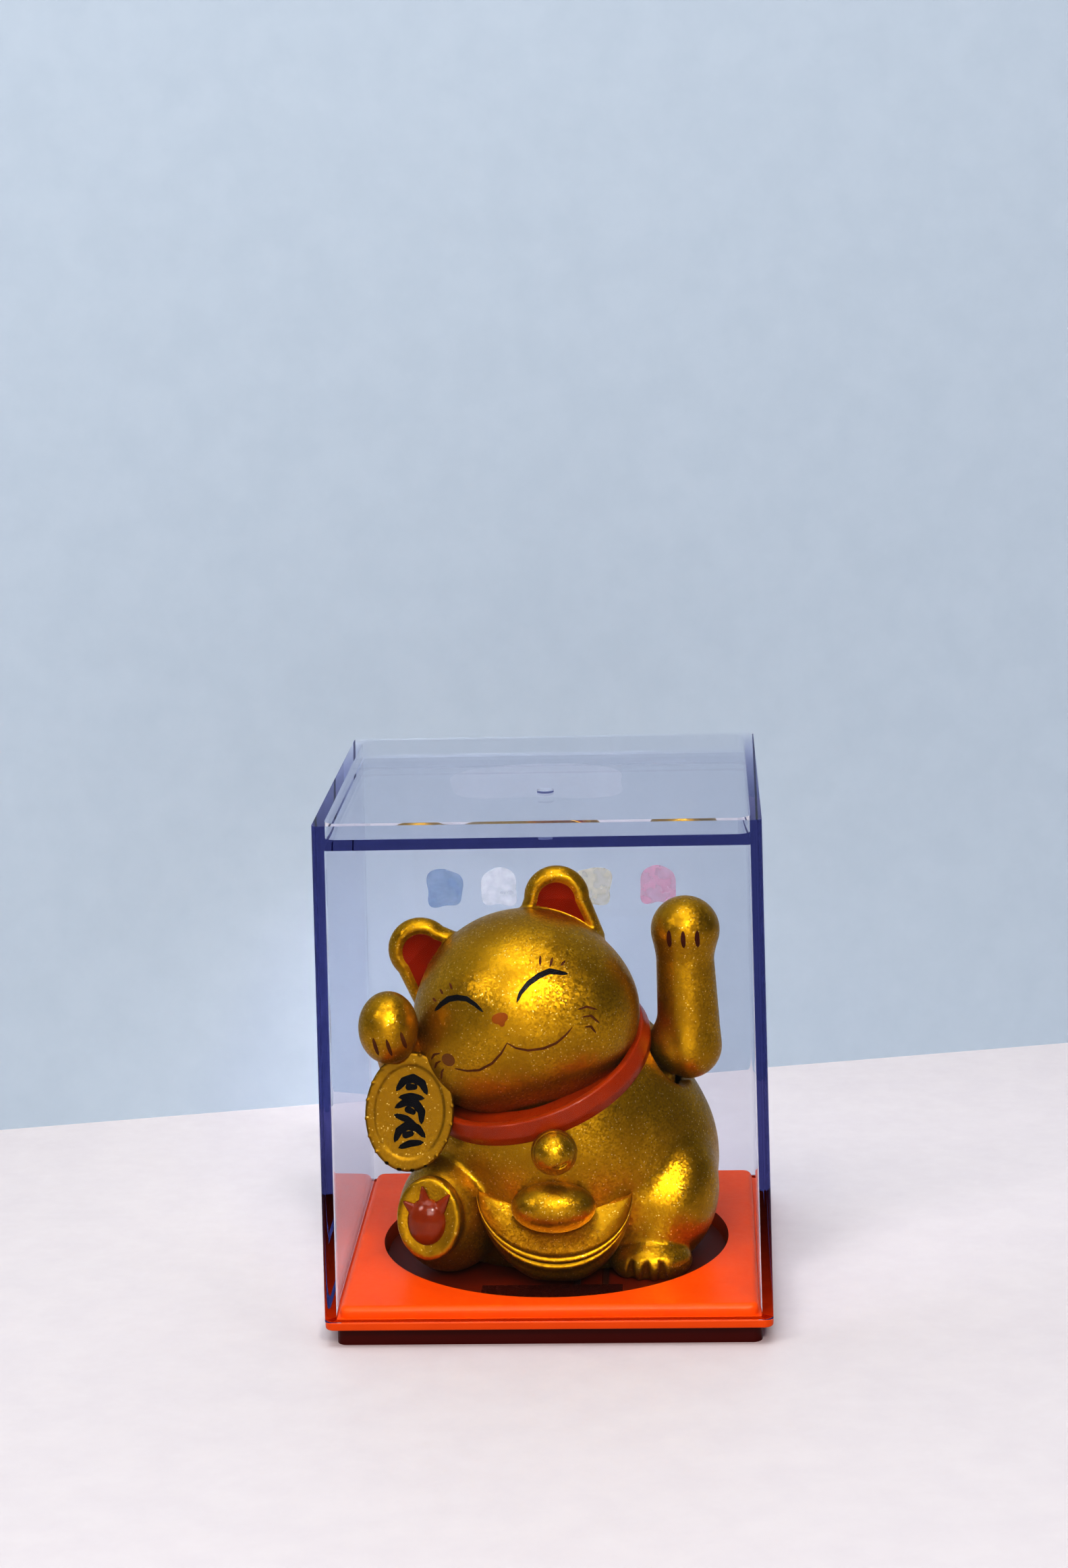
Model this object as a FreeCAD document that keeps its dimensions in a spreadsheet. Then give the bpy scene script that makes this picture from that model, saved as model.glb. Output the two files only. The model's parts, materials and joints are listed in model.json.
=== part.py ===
import FreeCAD, Part
import math
import os
import Sketcher

# Beckoning cat figurine: a gold cat with a solar-driven swinging arm, standing on a
# round base in an orange tray, under a clear square cover. Millimetres, +Z up,
# front towards -Y. The origin is the centre of the tray's foot, on the table.

doc = FreeCAD.newDocument("BeckoningCat")
sheet = doc.addObject("Spreadsheet::Sheet", "Dim")

DIMENSIONS = {
    # tray
    "tray_width": 62.0, "foot_width": 59.0, "foot_height": 2.6, "flange_height": 1.2,
    "platform_width": 58.2, "platform_height": 1.6, "tray_wall": 1.2, "tray_round": 1.4,
    "platform_round": 0.9, "flange_round": 0.25,
    "recess_radius": 25.2, "recess_floor": 2.4, "under_width": 55.4, "under_depth": 4.2,
    # clear cover
    "cover_top_width": 60.4, "cover_height": 70.2, "cover_wall": 1.5, "rim_depth": 2.2,
    "panel_thickness": 1.5, "cover_round": 0.9, "inner_round": 0.5, "rim_round": 2.0,
    "gate_radius": 1.2, "gate_height": 0.3,
    "label_width": 44.0, "label_height": 25.0, "label_thickness": 0.12, "label_z": 58.0,
    # round base of the figure
    "base_y": -0.5, "base_radius": 24.6, "base_thickness": 1.2,
    "cell_width": 20.0, "cell_depth": 6.4, "cell_thickness": 0.8, "cell_y": -19.2,
    "strip_width": 0.8, "strip_thickness": 0.25, "strip_spacing": 4.0, "groove_depth": 0.5,
    "groove_width": 1.2, "groove_overrun": 0.4,
    # body shells: an ellipsoid torso under a round shoulder, cut by the tilted neck plane
    "torso_x": 1.5, "torso_y": 2.0, "torso_z": 17.0,
    "torso_rx": 22.3, "torso_ry": 16.5, "torso_rz": 20.5, "shell_wall": 1.3,
    "shoulder_drop": 9.0, "shoulder_radius": 18.5, "split_y": 3.0,
    "neck_x": -2.75, "neck_y": -0.5, "neck_z": 32.83, "neck_roll": -16.5, "neck_pitch": 20.0,
    "neck_hole": 11.0, "neck_hole_depth": 6.0,
    "collar_height": 3.0, "collar_radius": 17.0, "collar_inner": 12.0,
    "arm_room_depth": 17.0, "slot_width": 4.3, "slot_depth": 7.4, "slot_z": 28.0, "slot_height": 6.0,
    # head
    "head_x": -3.2, "head_y": -3.0, "head_z": 40.7, "head_roll": -17.0,
    "head_rx": 16.0, "head_ry": 14.0, "head_rz": 15.0,
    "spigot_gap": 0.1, "spigot_depth": 4.4, "spigot_length": 3.2, "bore_depth": 5.0, "bore_length": 7.0,
    "ear_rx": 6.4, "ear_ry": 3.4, "ear_rz": 7.6, "ear_y": 4.0, "ear_z": 10.7,
    "ear_right_x": 8.9, "ear_right_lean": 17.0, "ear_left_x": -12.0, "ear_left_lean": -28.0,
    # hind legs, front paw and things the cat holds
    "thigh_x": 16.5, "thigh_y": -5.0, "thigh_z": 13.0, "thigh_rx": 7.3, "thigh_ry": 8.5, "thigh_rz": 9.8,
    "foot_x": 14.0, "foot_y": -11.2, "foot_z": 5.4, "foot_rx": 5.8, "foot_ry": 4.6, "foot_rz": 3.4,
    "leg_x": -14.5, "leg_y": -8.0, "leg_z": 12.2, "leg_turn": -15.0,
    "leg_rx": 7.5, "leg_ry": 10.5, "leg_rz": 8.7,
    "paw_x": -23.2, "paw_y": -6.0, "paw_z": 38.9, "paw_radius": 4.0, "forearm_radius": 3.6,
    "forearm_length": 15.5, "forearm_turn": 45.0, "forearm_lean": 166.0, "paint_gap": 0.05,
    "koban_x": -19.9, "koban_y": -11.8, "koban_z": 28.2, "koban_long": 8.6, "koban_short": 6.3,
    "koban_thickness": 1.4, "koban_tilt": 5.0, "peg_radius": 1.0, "peg_length": 7.6,
    "koban_peg_x": -17.0, "koban_peg_z": 22.6, "koban_peg_lap": 0.4,
    "bell_x": 0.9, "bell_y": -17.5, "bell_z": 23.2, "bell_radius": 3.3,
    "bell_peg_length": 4.4, "bell_peg_start": 1.0, "slit_depth": 1.4, "slit_height": 0.6, "slit_drop": 0.9,
    "ingot_x": 0.5, "ingot_y": -15.8, "ingot_z": 17.0, "ingot_rx": 11.4, "ingot_ry": 5.2, "ingot_rz": 13.5,
    "dish_rx": 10.4, "dish_ry": 12.0, "dish_rz": 4.4, "dish_lift": 0.4,
    "dome_rx": 5.9, "dome_ry": 4.0, "dome_rz": 3.6, "dome_z": 14.8, "dome_forward": 1.0,
    "ingot_peg_z": 10.0, "ingot_peg_length": 5.0,
    # swinging arm and its pendulum, all in the plane y = swing_y
    "swing_y": 0.5, "pivot_z": 27.0, "axle_radius": 0.6, "axle_start": -3.4, "axle_length": 21.2,
    "arm_x": 19.5, "arm_paw_z": 51.2, "arm_paw_radius": 4.95, "arm_radius": 4.2,
    "arm_elbow_z": 36.0, "arm_wall": 1.2, "elbow_rx": 4.75, "elbow_ry": 4.4, "elbow_rz": 7.0,
    "elbow_shift": 0.4, "arm_body_gap": 0.9, "arm_floor_gap": 0.6, "arm_floor_width": 4.7,
    "arm_core_lift": 2.2,
    "shank_x": 14.5, "shank_width": 3.1, "shank_depth": 4.0, "shank_length": 8.0, "hub_radius": 2.2,
    "pocket_x": 13.9, "pocket_z": 31.0,
    "pendulum_x": 5.5, "lever_hub_width": 5.0, "lever_width": 3.2, "lever_thickness": 1.6, "lever_lap": 1.0,
    "cup_radius": 4.6, "cup_z": 12.5, "cup_thickness": 1.2, "magnet_radius": 4.0,
    "magnet_height": 2.5, "weight_height": 3.0, "weight_radius": 4.4,
    # mechanism frame, circuit board and coil
    "frame_left": -3.0, "frame_right": 13.5, "frame_front": -4.4, "frame_back": 6.0,
    "frame_floor": 1.0, "upright_width": 1.5, "upright_depth": 6.0, "upright_top": 29.0,
    "tongue_x": 3.0, "tongue_y": 7.6, "tongue_width": 9.0, "tongue_depth": 4.4,
    "bush_radius": 1.4, "bush_clearance": 0.05,
    "board_x": 5.25, "board_width": 12.9, "board_depth": 10.2, "board_thickness": 0.8,
    "chip_x": 0.2, "chip_y": -1.5, "chip_width": 2.2, "chip_depth": 3.0, "chip_height": 0.9,
    "can_x": 10.6, "can_y": 3.6, "can_radius": 1.0, "can_height": 3.2,
    "sleeve_radius": 1.08, "sleeve_height": 2.4, "sleeve_lift": 0.4,
    "coil_radius": 3.9, "coil_flange": 0.5, "coil_height": 3.6, "core_radius": 1.4, "winding_radius": 3.6,
    # screws
    "screw_radius": 1.0, "screw_head": 1.9, "screw_length": 6.1, "boss_radius": 2.4,
    "boss_height": 5.6, "drive_slot_length": 2.6, "drive_slot_width": 0.5, "drive_slot_depth": 0.6,
    "small_screw_radius": 0.7, "small_screw_head": 1.3, "small_head_height": 0.8, "small_screw_gap": 0.1,
    "small_slot_length": 3.0, "small_slot_width": 0.35, "small_slot_depth": 0.4,
}

for row, (alias, value) in enumerate(DIMENSIONS.items(), start=1):
    cell = "B%d" % row
    sheet.set("A%d" % row, alias)
    sheet.set(cell, str(value))
    sheet.setAlias(cell, alias)
doc.recompute()


def number(expression):
    """Value of a sheet expression, as a plain number of millimetres or degrees."""
    value = sheet.evalExpression(str(expression))
    return float(getattr(value, "Value", value))


# Levels and places worked out from the driving dimensions.
FLANGE_TOP = "(Dim.foot_height + Dim.flange_height)"
PLATFORM_TOP = "(Dim.foot_height + Dim.flange_height + Dim.platform_height)"
BASE_TOP = "(Dim.recess_floor + Dim.base_thickness)"
FRAME_TOP = "(Dim.recess_floor + Dim.base_thickness + Dim.frame_floor)"
BOARD_TOP = "(Dim.recess_floor + Dim.base_thickness + Dim.frame_floor + Dim.board_thickness)"
NO_TURN = "rotationx(0)"
NECK = ("placement(vector(Dim.neck_x; Dim.neck_y; Dim.neck_z);"
        " rotationy(Dim.neck_roll) * rotationx(Dim.neck_pitch))")
HEAD = "placement(vector(Dim.head_x; Dim.head_y; Dim.head_z); rotationy(Dim.head_roll))"
BIG = "80"
HALF_BIG = "-40"
TOLERANCE = 0.01
BASE_SCREWS = [("-14", "-7"), ("16.5", "-7.5"), ("-7.5", "10"), ("10.5", "10")]
FRAME_SCREWS = [("0.5", "8"), ("5.5", "8")]


def place(item, base, turn=NO_TURN, frame=None):
    """Bind an object's Placement to the sheet, in the row frame or in a tilted one."""
    local = "placement(vector(%s; %s; %s); %s)" % (base[0], base[1], base[2], turn)
    item.setExpression("Placement", local if frame is None else frame + " * " + local)
    return item


# ---- Part primitives and booleans ------------------------------------------------

def primitive(kind, name, sizes, base, turn=NO_TURN, frame=None):
    item = doc.addObject("Part::" + kind, name)
    for key, expression in sizes.items():
        item.setExpression(key, str(expression))
    return place(item, base, turn, frame)


def box(name, size, corner, turn=NO_TURN, frame=None):
    sizes = {"Length": size[0], "Width": size[1], "Height": size[2]}
    return primitive("Box", name, sizes, corner, turn, frame)


def cylinder(name, radius, height, base, turn=NO_TURN, frame=None):
    return primitive("Cylinder", name, {"Radius": radius, "Height": height}, base, turn, frame)


def ball(name, radius, centre, frame=None):
    return primitive("Sphere", name, {"Radius": radius}, centre, NO_TURN, frame)


def ellipsoid(name, radii, centre, turn=NO_TURN, frame=None):
    sizes = {"Radius2": radii[0], "Radius3": radii[1], "Radius1": radii[2]}
    return primitive("Ellipsoid", name, sizes, centre, turn, frame)


def fuse(name, *items):
    union = doc.addObject("Part::MultiFuse", name)
    union.Shapes = list(items)
    return union


def cut(name, base, *tools):
    result = doc.addObject("Part::Cut", name)
    result.Base = base
    result.Tool = tools[0] if len(tools) == 1 else fuse(name + "_tools", *tools)
    return result


def common(name, *items):
    result = doc.addObject("Part::MultiCommon", name)
    result.Shapes = list(items)
    return result


# ---- PartDesign bodies, sketches and features ----------------------------------------

def new_body(name, base=("0", "0", "0"), turn=NO_TURN):
    return place(doc.addObject("PartDesign::Body", name), base, turn)


def new_sketch(body, name, lift="0", role="XY_Plane"):
    sketch = body.newObject("Sketcher::SketchObject", body.Name + "_" + name)
    plane = [item for item in body.Origin.OriginFeatures if item.Role == role][0]
    sketch.AttachmentSupport = [(plane, "")]
    sketch.MapMode = "FlatFace"
    sketch.setExpression("AttachmentOffset.Base.z", lift)
    return sketch


def constrain(sketch, expression, *arguments):
    """Add a dimension and bind it to the sheet."""
    index = sketch.addConstraint(Sketcher.Constraint(*arguments, number(expression)))
    sketch.setExpression("Constraints[%d]" % index, expression)


def add_rectangle(sketch, width, depth, x="0", y="0"):
    """Rectangle centred at x, y of the sketch plane."""
    left = number(x) - number(width) / 2
    front = number(y) - number(depth) / 2
    corners = [(left, front), (left + number(width), front),
               (left + number(width), front + number(depth)), (left, front + number(depth))]
    points = [FreeCAD.Vector(a, b, 0) for a, b in corners]
    lines = [sketch.addGeometry(Part.LineSegment(points[i], points[(i + 1) % 4]))
             for i in range(4)]
    for i in range(4):
        sketch.addConstraint(Sketcher.Constraint("Coincident", lines[i], 2, lines[(i + 1) % 4], 1))
        direction = "Horizontal" if i % 2 == 0 else "Vertical"
        sketch.addConstraint(Sketcher.Constraint(direction, lines[i]))
    constrain(sketch, width, "DistanceX", lines[0], 1, lines[0], 2)
    constrain(sketch, depth, "DistanceY", lines[1], 1, lines[1], 2)
    constrain(sketch, "(%s) - (%s) / 2" % (x, width), "DistanceX", -1, 1, lines[0], 1)
    constrain(sketch, "(%s) - (%s) / 2" % (y, depth), "DistanceY", -1, 1, lines[0], 1)


def add_rounded_square(sketch, width, radius):
    """Square centred on the sketch's origin, with a quarter circle at each corner."""
    half, r = number(width) / 2, number(radius)
    flat = half - r
    turns = [(1, -1), (1, 1), (-1, 1), (-1, -1)]
    sides = []
    arcs = []
    for i, (a, b) in enumerate(turns):
        next_a, next_b = turns[(i + 1) % 4]
        out_x, out_y = (a + next_a) / 2, (b + next_b) / 2
        start = FreeCAD.Vector(half * out_x + flat * (a - out_x), half * out_y + flat * (b - out_y), 0)
        end = FreeCAD.Vector(half * out_x + flat * (next_a - out_x),
                             half * out_y + flat * (next_b - out_y), 0)
        sides.append(sketch.addGeometry(Part.LineSegment(start, end)))
        centre = FreeCAD.Vector(next_a * flat, next_b * flat, 0)
        circle = Part.Circle(centre, FreeCAD.Vector(0, 0, 1), r)
        first = math.pi / 2 * i
        arcs.append(sketch.addGeometry(Part.ArcOfCircle(circle, first, first + math.pi / 2)))
    for i in range(4):
        sketch.addConstraint(Sketcher.Constraint("Tangent", sides[i], 2, arcs[i], 1))
        sketch.addConstraint(Sketcher.Constraint("Tangent", arcs[i], 2, sides[(i + 1) % 4], 1))
        sketch.addConstraint(Sketcher.Constraint("Vertical" if i % 2 == 0 else "Horizontal", sides[i]))
    for arc in arcs[1:]:
        sketch.addConstraint(Sketcher.Constraint("Equal", arcs[0], arc))
    constrain(sketch, radius, "Radius", arcs[0])
    constrain(sketch, "(%s) / 2" % width, "DistanceX", -1, 1, sides[0], 1)
    constrain(sketch, "(%s) / 2" % width, "DistanceY", -1, 1, sides[1], 1)
    constrain(sketch, "-(%s) / 2" % width, "DistanceX", -1, 1, sides[2], 1)
    constrain(sketch, "-(%s) / 2" % width, "DistanceY", -1, 1, sides[3], 1)


def add_circle(sketch, radius, x="0", y="0"):
    centre = FreeCAD.Vector(number(x), number(y), 0)
    circle = sketch.addGeometry(Part.Circle(centre, FreeCAD.Vector(0, 0, 1), number(radius)))
    constrain(sketch, radius, "Radius", circle)
    constrain(sketch, x, "DistanceX", -1, 1, circle, 3)
    constrain(sketch, y, "DistanceY", -1, 1, circle, 3)


def extrude(body, kind, sketch, length, backwards=False, midplane=False):
    feature = body.newObject("PartDesign::" + kind, sketch.Name + "_" + kind.lower())
    feature.Profile = sketch
    feature.setExpression("Length", length)
    feature.Reversed = backwards
    feature.Midplane = midplane
    doc.recompute()
    return feature


def pad(body, sketch, length, **options):
    return extrude(body, "Pad", sketch, length, **options)


def pocket(body, sketch, length, **options):
    """Cut down from the sketch, or up with backwards; it must take material away."""
    before = body.Shape.Volume
    feature = extrude(body, "Pocket", sketch, length, **options)
    if body.Shape.Volume >= before:
        raise RuntimeError(feature.Name + " cuts nothing")
    return feature


def fillet(body, radius, wanted):
    """Round the edges of the body's tip for which wanted(edge) is true."""
    doc.recompute()
    tip = body.Tip
    names = ["Edge%d" % (i + 1) for i, edge in enumerate(tip.Shape.Edges) if wanted(edge)]
    feature = body.newObject("PartDesign::Fillet", body.Name + "_fillet")
    feature.Base = (tip, names)
    feature.setExpression("Radius", radius)
    doc.recompute()
    return feature


# ---- tray and cover -------------------------------------------------------------------

def is_outer_ring(edge, half_width):
    """A level edge that runs outside a centred square."""
    middle = edge.CenterOfMass
    level = edge.BoundBox.ZLength < TOLERANCE
    return level and max(abs(middle.x), abs(middle.y)) > half_width + TOLERANCE


def make_tray():
    body = new_body("tray")
    foot = new_sketch(body, "foot")
    add_rounded_square(foot, "Dim.foot_width", "Dim.tray_round")
    pad(body, foot, "Dim.foot_height")
    flange = new_sketch(body, "flange", "Dim.foot_height")
    add_rounded_square(flange, "Dim.tray_width", "Dim.tray_round")
    pad(body, flange, "Dim.flange_height")
    foot_half = number("Dim.foot_width / 2")
    fillet(body, "Dim.flange_round", lambda edge: is_outer_ring(edge, foot_half))
    platform = new_sketch(body, "platform", FLANGE_TOP)
    add_rounded_square(platform, "Dim.platform_width", "Dim.tray_round")
    pad(body, platform, "Dim.platform_height")
    top = number(PLATFORM_TOP)
    fillet(body, "Dim.platform_round", lambda edge: edge.BoundBox.ZMin > top - TOLERANCE)
    recess = new_sketch(body, "recess", PLATFORM_TOP)
    add_circle(recess, "Dim.recess_radius", "0", "Dim.base_y")
    pocket(body, recess, PLATFORM_TOP + " - Dim.recess_floor")
    under = new_sketch(body, "under")
    add_rectangle(under, "Dim.under_width", "Dim.under_width")
    pocket(body, under, "Dim.recess_floor - Dim.tray_wall", backwards=True)
    corners = new_sketch(body, "corners")
    add_rectangle(corners, "Dim.under_width", "Dim.under_width")
    add_circle(corners, "Dim.recess_radius + Dim.tray_wall", "0", "Dim.base_y")
    pocket(body, corners, "Dim.under_depth", backwards=True)
    return body


def add_square_loft(body, kind, name, radius, low_width, low_z, high_width, high_z):
    """Loft between two level rounded squares, for a wall with moulding draft."""
    low = new_sketch(body, name + "_low", low_z)
    add_rounded_square(low, low_width, radius)
    high = new_sketch(body, name + "_high", high_z)
    add_rounded_square(high, high_width, radius)
    feature = body.newObject("PartDesign::" + kind, body.Name + "_" + name)
    feature.Profile = low
    feature.Sections = [high]
    feature.Ruled = True
    doc.recompute()
    return feature


def make_cover():
    """Five-sided clear cover, open below, with a rim standing round its sunk top panel."""
    body = new_body("case_cover", ("0", "0", FLANGE_TOP))
    add_square_loft(body, "AdditiveLoft", "outside", "Dim.cover_round", "Dim.tray_width", "0",
                    "Dim.cover_top_width", "Dim.cover_height")
    roof = "Dim.cover_height - Dim.rim_depth - Dim.panel_thickness"
    add_square_loft(body, "SubtractiveLoft", "inside", "Dim.inner_round",
                    "Dim.tray_width - 2 * Dim.cover_wall", "0",
                    "Dim.cover_top_width - 2 * Dim.cover_wall", roof)
    rim = new_sketch(body, "rim", "Dim.cover_height")
    add_rounded_square(rim, "Dim.cover_top_width - 2 * Dim.cover_wall", "Dim.rim_round")
    pocket(body, rim, "Dim.rim_depth")
    gate = new_sketch(body, "gate", "Dim.cover_height - Dim.rim_depth")
    add_circle(gate, "Dim.gate_radius")
    pad(body, gate, "Dim.gate_height")
    return body


def make_rear_label():
    """Clear film label on the outside of the cover's rear wall, which leans with the draft."""
    draft = "atan((Dim.tray_width - Dim.cover_top_width) / 2 / Dim.cover_height)"
    rear = ("Dim.tray_width / 2 - (Dim.tray_width - Dim.cover_top_width) / 2"
            " * (Dim.label_z - %s) / Dim.cover_height" % FLANGE_TOP)
    body = new_body("rear_label", ("0", rear, "Dim.label_z"), "rotationx(%s)" % draft)
    outline = new_sketch(body, "outline", "0", "XZ_Plane")
    add_rectangle(outline, "Dim.label_width", "Dim.label_height")
    pad(body, outline, "Dim.label_thickness", backwards=True)
    return body


# ---- round base, solar cell and circuit -----------------------------------------------

def make_base_plate():
    body = new_body("base_disc", ("0", "0", "Dim.recess_floor"))
    disc = new_sketch(body, "disc")
    add_circle(disc, "Dim.base_radius", "0", "Dim.base_y")
    pad(body, disc, "Dim.base_thickness")
    cell = new_sketch(body, "cell", "Dim.base_thickness")
    add_rectangle(cell, "Dim.cell_width", "Dim.cell_depth", "0", "Dim.cell_y")
    pocket(body, cell, "Dim.cell_thickness")
    grooves = new_sketch(body, "grooves", "Dim.base_thickness")
    for side in ("-", "+"):
        x = "Dim.pendulum_x %s Dim.strip_spacing / 2" % side
        front = "(Dim.cell_y + Dim.cell_depth / 2)"
        back = "(Dim.frame_front + Dim.groove_overrun)"
        add_rectangle(grooves, "Dim.groove_width", "(%s - %s)" % (back, front),
                      "(%s)" % x, "((%s + %s) / 2)" % (back, front))
    pocket(body, grooves, "Dim.groove_depth")
    holes = new_sketch(body, "holes")
    for x, y in FRAME_SCREWS:
        add_circle(holes, "Dim.small_screw_radius", x, y)
    pocket(body, holes, "Dim.base_thickness", backwards=True)
    sinks = [screw_shape("sink_%d" % i, x, y) for i, (x, y) in enumerate(BASE_SCREWS)]
    return cut("base_plate", body, *sinks)


def screw_shape(name, x, y):
    """Countersunk screw pointing up from the underside of the base."""
    sizes = {"Radius1": "Dim.screw_head", "Radius2": "Dim.screw_radius",
             "Height": "Dim.screw_head - Dim.screw_radius"}
    head = primitive("Cone", name + "_head", sizes, (x, y, "Dim.recess_floor"))
    shank = cylinder(name + "_shank", "Dim.screw_radius", "Dim.screw_length",
                     (x, y, "Dim.recess_floor"))
    return fuse(name, head, shank)


def make_base_screws():
    screws = []
    for i, (x, y) in enumerate(BASE_SCREWS):
        slot = box("drive_slot_%d" % i,
                   ("Dim.drive_slot_length", "Dim.drive_slot_width", "Dim.drive_slot_depth"),
                   (x + " - Dim.drive_slot_length / 2", y + " - Dim.drive_slot_width / 2", "Dim.recess_floor"))
        screws.append(cut("screw_%d" % i, screw_shape("screw_blank_%d" % i, x, y), slot))
    return fuse("base_screws", *screws)


def make_solar_cell():
    body = new_body("solar_cell", ("0", "Dim.cell_y", BASE_TOP + " - Dim.cell_thickness"))
    outline = new_sketch(body, "outline")
    add_rectangle(outline, "Dim.cell_width", "Dim.cell_depth")
    pad(body, outline, "Dim.cell_thickness")
    return body


def make_cell_strips():
    """Two bent copper strips from the solar cell to the front edge of the board."""
    strips = []
    board_front = "(Dim.swing_y - Dim.board_depth / 2)"
    low = "(%s - Dim.groove_depth)" % BASE_TOP
    start = "(Dim.cell_y + Dim.cell_depth / 2)"
    for i, side in enumerate(("-", "+")):
        x = "Dim.pendulum_x %s Dim.strip_spacing / 2 - Dim.strip_width / 2" % side
        run = box("strip_run_%d" % i,
                  ("Dim.strip_width", board_front + " - " + start, "Dim.strip_thickness"),
                  (x, start, low))
        rise = box("strip_rise_%d" % i,
                   ("Dim.strip_width", "Dim.strip_thickness", "%s - %s" % (BOARD_TOP, low)),
                   (x, board_front + " - Dim.strip_thickness", low))
        strips.append(fuse("strip_%d" % i, run, rise))
    return fuse("cell_strips", *strips)


def make_swing_frame():
    """Floor with two uprights that carry the axle's bushes on either side of the pendulum."""
    body = new_body("swing_frame", ("0", "0", BASE_TOP))
    floor = new_sketch(body, "floor")
    add_rectangle(floor, "(Dim.frame_right - Dim.frame_left)", "(Dim.frame_back - Dim.frame_front)",
                  "((Dim.frame_right + Dim.frame_left) / 2)",
                  "((Dim.frame_back + Dim.frame_front) / 2)")
    pad(body, floor, "Dim.frame_floor")
    tongue = new_sketch(body, "tongue")
    add_rectangle(tongue, "Dim.tongue_width", "Dim.tongue_depth", "Dim.tongue_x", "Dim.tongue_y")
    pad(body, tongue, "Dim.frame_floor")
    uprights = new_sketch(body, "uprights")
    for x in ("(Dim.frame_left + Dim.upright_width / 2)", "(Dim.frame_right - Dim.upright_width / 2)"):
        add_rectangle(uprights, "Dim.upright_width", "Dim.upright_depth", x, "Dim.swing_y")
    pad(body, uprights, "Dim.upright_top - " + BASE_TOP)
    holes = new_sketch(body, "holes")
    for x, y in FRAME_SCREWS:
        add_circle(holes, "Dim.small_screw_radius", x, y)
    pocket(body, holes, "Dim.frame_floor", backwards=True)
    bores = new_sketch(body, "bores", "Dim.frame_left - 1", "YZ_Plane")
    add_circle(bores, "Dim.bush_radius", "Dim.swing_y", "(Dim.pivot_z - %s)" % BASE_TOP)
    pocket(body, bores, "Dim.frame_right - Dim.frame_left + 2", backwards=True)
    return body


def make_frame_screws():
    screws = []
    for i, (x, y) in enumerate(FRAME_SCREWS):
        shank = cylinder("small_shank_%d" % i, "Dim.small_screw_radius",
                         "Dim.frame_floor + Dim.base_thickness - Dim.small_screw_gap",
                         (x, y, "Dim.recess_floor + Dim.small_screw_gap"))
        head = cylinder("small_head_%d" % i, "Dim.small_screw_head", "Dim.small_head_height",
                        (x, y, FRAME_TOP))
        slot = box("small_slot_%d" % i,
                   ("Dim.small_slot_length", "Dim.small_slot_width", "Dim.small_slot_depth"),
                   (x + " - Dim.small_slot_length / 2", y + " - Dim.small_slot_width / 2",
                    FRAME_TOP + " + Dim.small_head_height - Dim.small_slot_depth"))
        screws.append(cut("small_screw_%d" % i, fuse("small_blank_%d" % i, shank, head), slot))
    return fuse("frame_screws", *screws)


def make_circuit_board():
    body = new_body("circuit_board", ("Dim.board_x", "Dim.swing_y", FRAME_TOP))
    outline = new_sketch(body, "outline")
    add_rectangle(outline, "Dim.board_width", "Dim.board_depth")
    pad(body, outline, "Dim.board_thickness")
    return body


def make_driver_chip():
    body = new_body("driver_chip", ("Dim.chip_x", "Dim.chip_y", BOARD_TOP))
    outline = new_sketch(body, "outline")
    add_rectangle(outline, "Dim.chip_width", "Dim.chip_depth")
    pad(body, outline, "Dim.chip_height")
    return body


def make_capacitor():
    can = cylinder("capacitor_can", "Dim.can_radius", "Dim.can_height", ("Dim.can_x", "Dim.can_y", BOARD_TOP))
    sleeve = cylinder("capacitor_sleeve", "Dim.sleeve_radius", "Dim.sleeve_height",
                      ("Dim.can_x", "Dim.can_y", BOARD_TOP + " + Dim.sleeve_lift"))
    return fuse("storage_capacitor", can, sleeve)


def make_coil_bobbin():
    centre = ("Dim.pendulum_x", "Dim.swing_y")
    core = cylinder("bobbin_core", "Dim.core_radius", "Dim.coil_height", centre + (BOARD_TOP,))
    low = cylinder("bobbin_low", "Dim.coil_radius", "Dim.coil_flange", centre + (BOARD_TOP,))
    high = cylinder("bobbin_high", "Dim.coil_radius", "Dim.coil_flange",
                    centre + (BOARD_TOP + " + Dim.coil_height - Dim.coil_flange",))
    return fuse("coil_bobbin", core, low, high)


def make_coil_winding():
    base = ("Dim.pendulum_x", "Dim.swing_y", BOARD_TOP + " + Dim.coil_flange")
    height = "Dim.coil_height - 2 * Dim.coil_flange"
    outside = cylinder("winding_outside", "Dim.winding_radius", height, base)
    inside = cylinder("winding_inside", "Dim.core_radius", height, base)
    return cut("coil_winding", outside, inside)


# ---- body shells ------------------------------------------------------------------------

def radii_of(piece, inset="0"):
    """The three radii of an ellipsoid from the sheet, drawn in by the inset."""
    return ["Dim.%s_%s - %s" % (piece, axis, inset) for axis in ("rx", "ry", "rz")]


def torso(name, inset="0"):
    return ellipsoid(name, radii_of("torso", inset), ("Dim.torso_x", "Dim.torso_y", "Dim.torso_z"))


def shoulder(name, inset="0"):
    return ball(name, "Dim.shoulder_radius - " + inset, ("0", "0", "-Dim.shoulder_drop"), NECK)


def below_neck(name, level):
    """Everything under a plane parallel to the collar."""
    return box(name, (BIG, BIG, BIG), (HALF_BIG, HALF_BIG, level + " - " + BIG), NO_TURN, NECK)


def above_neck(name, level):
    return box(name, (BIG, BIG, BIG), (HALF_BIG, HALF_BIG, level), NO_TURN, NECK)


def in_front(name):
    return box(name, (BIG, BIG, BIG), (HALF_BIG, "Dim.split_y - " + BIG, "0"))


def behind(name):
    return box(name, (BIG, BIG, BIG), (HALF_BIG, "Dim.split_y", "0"))


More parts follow.
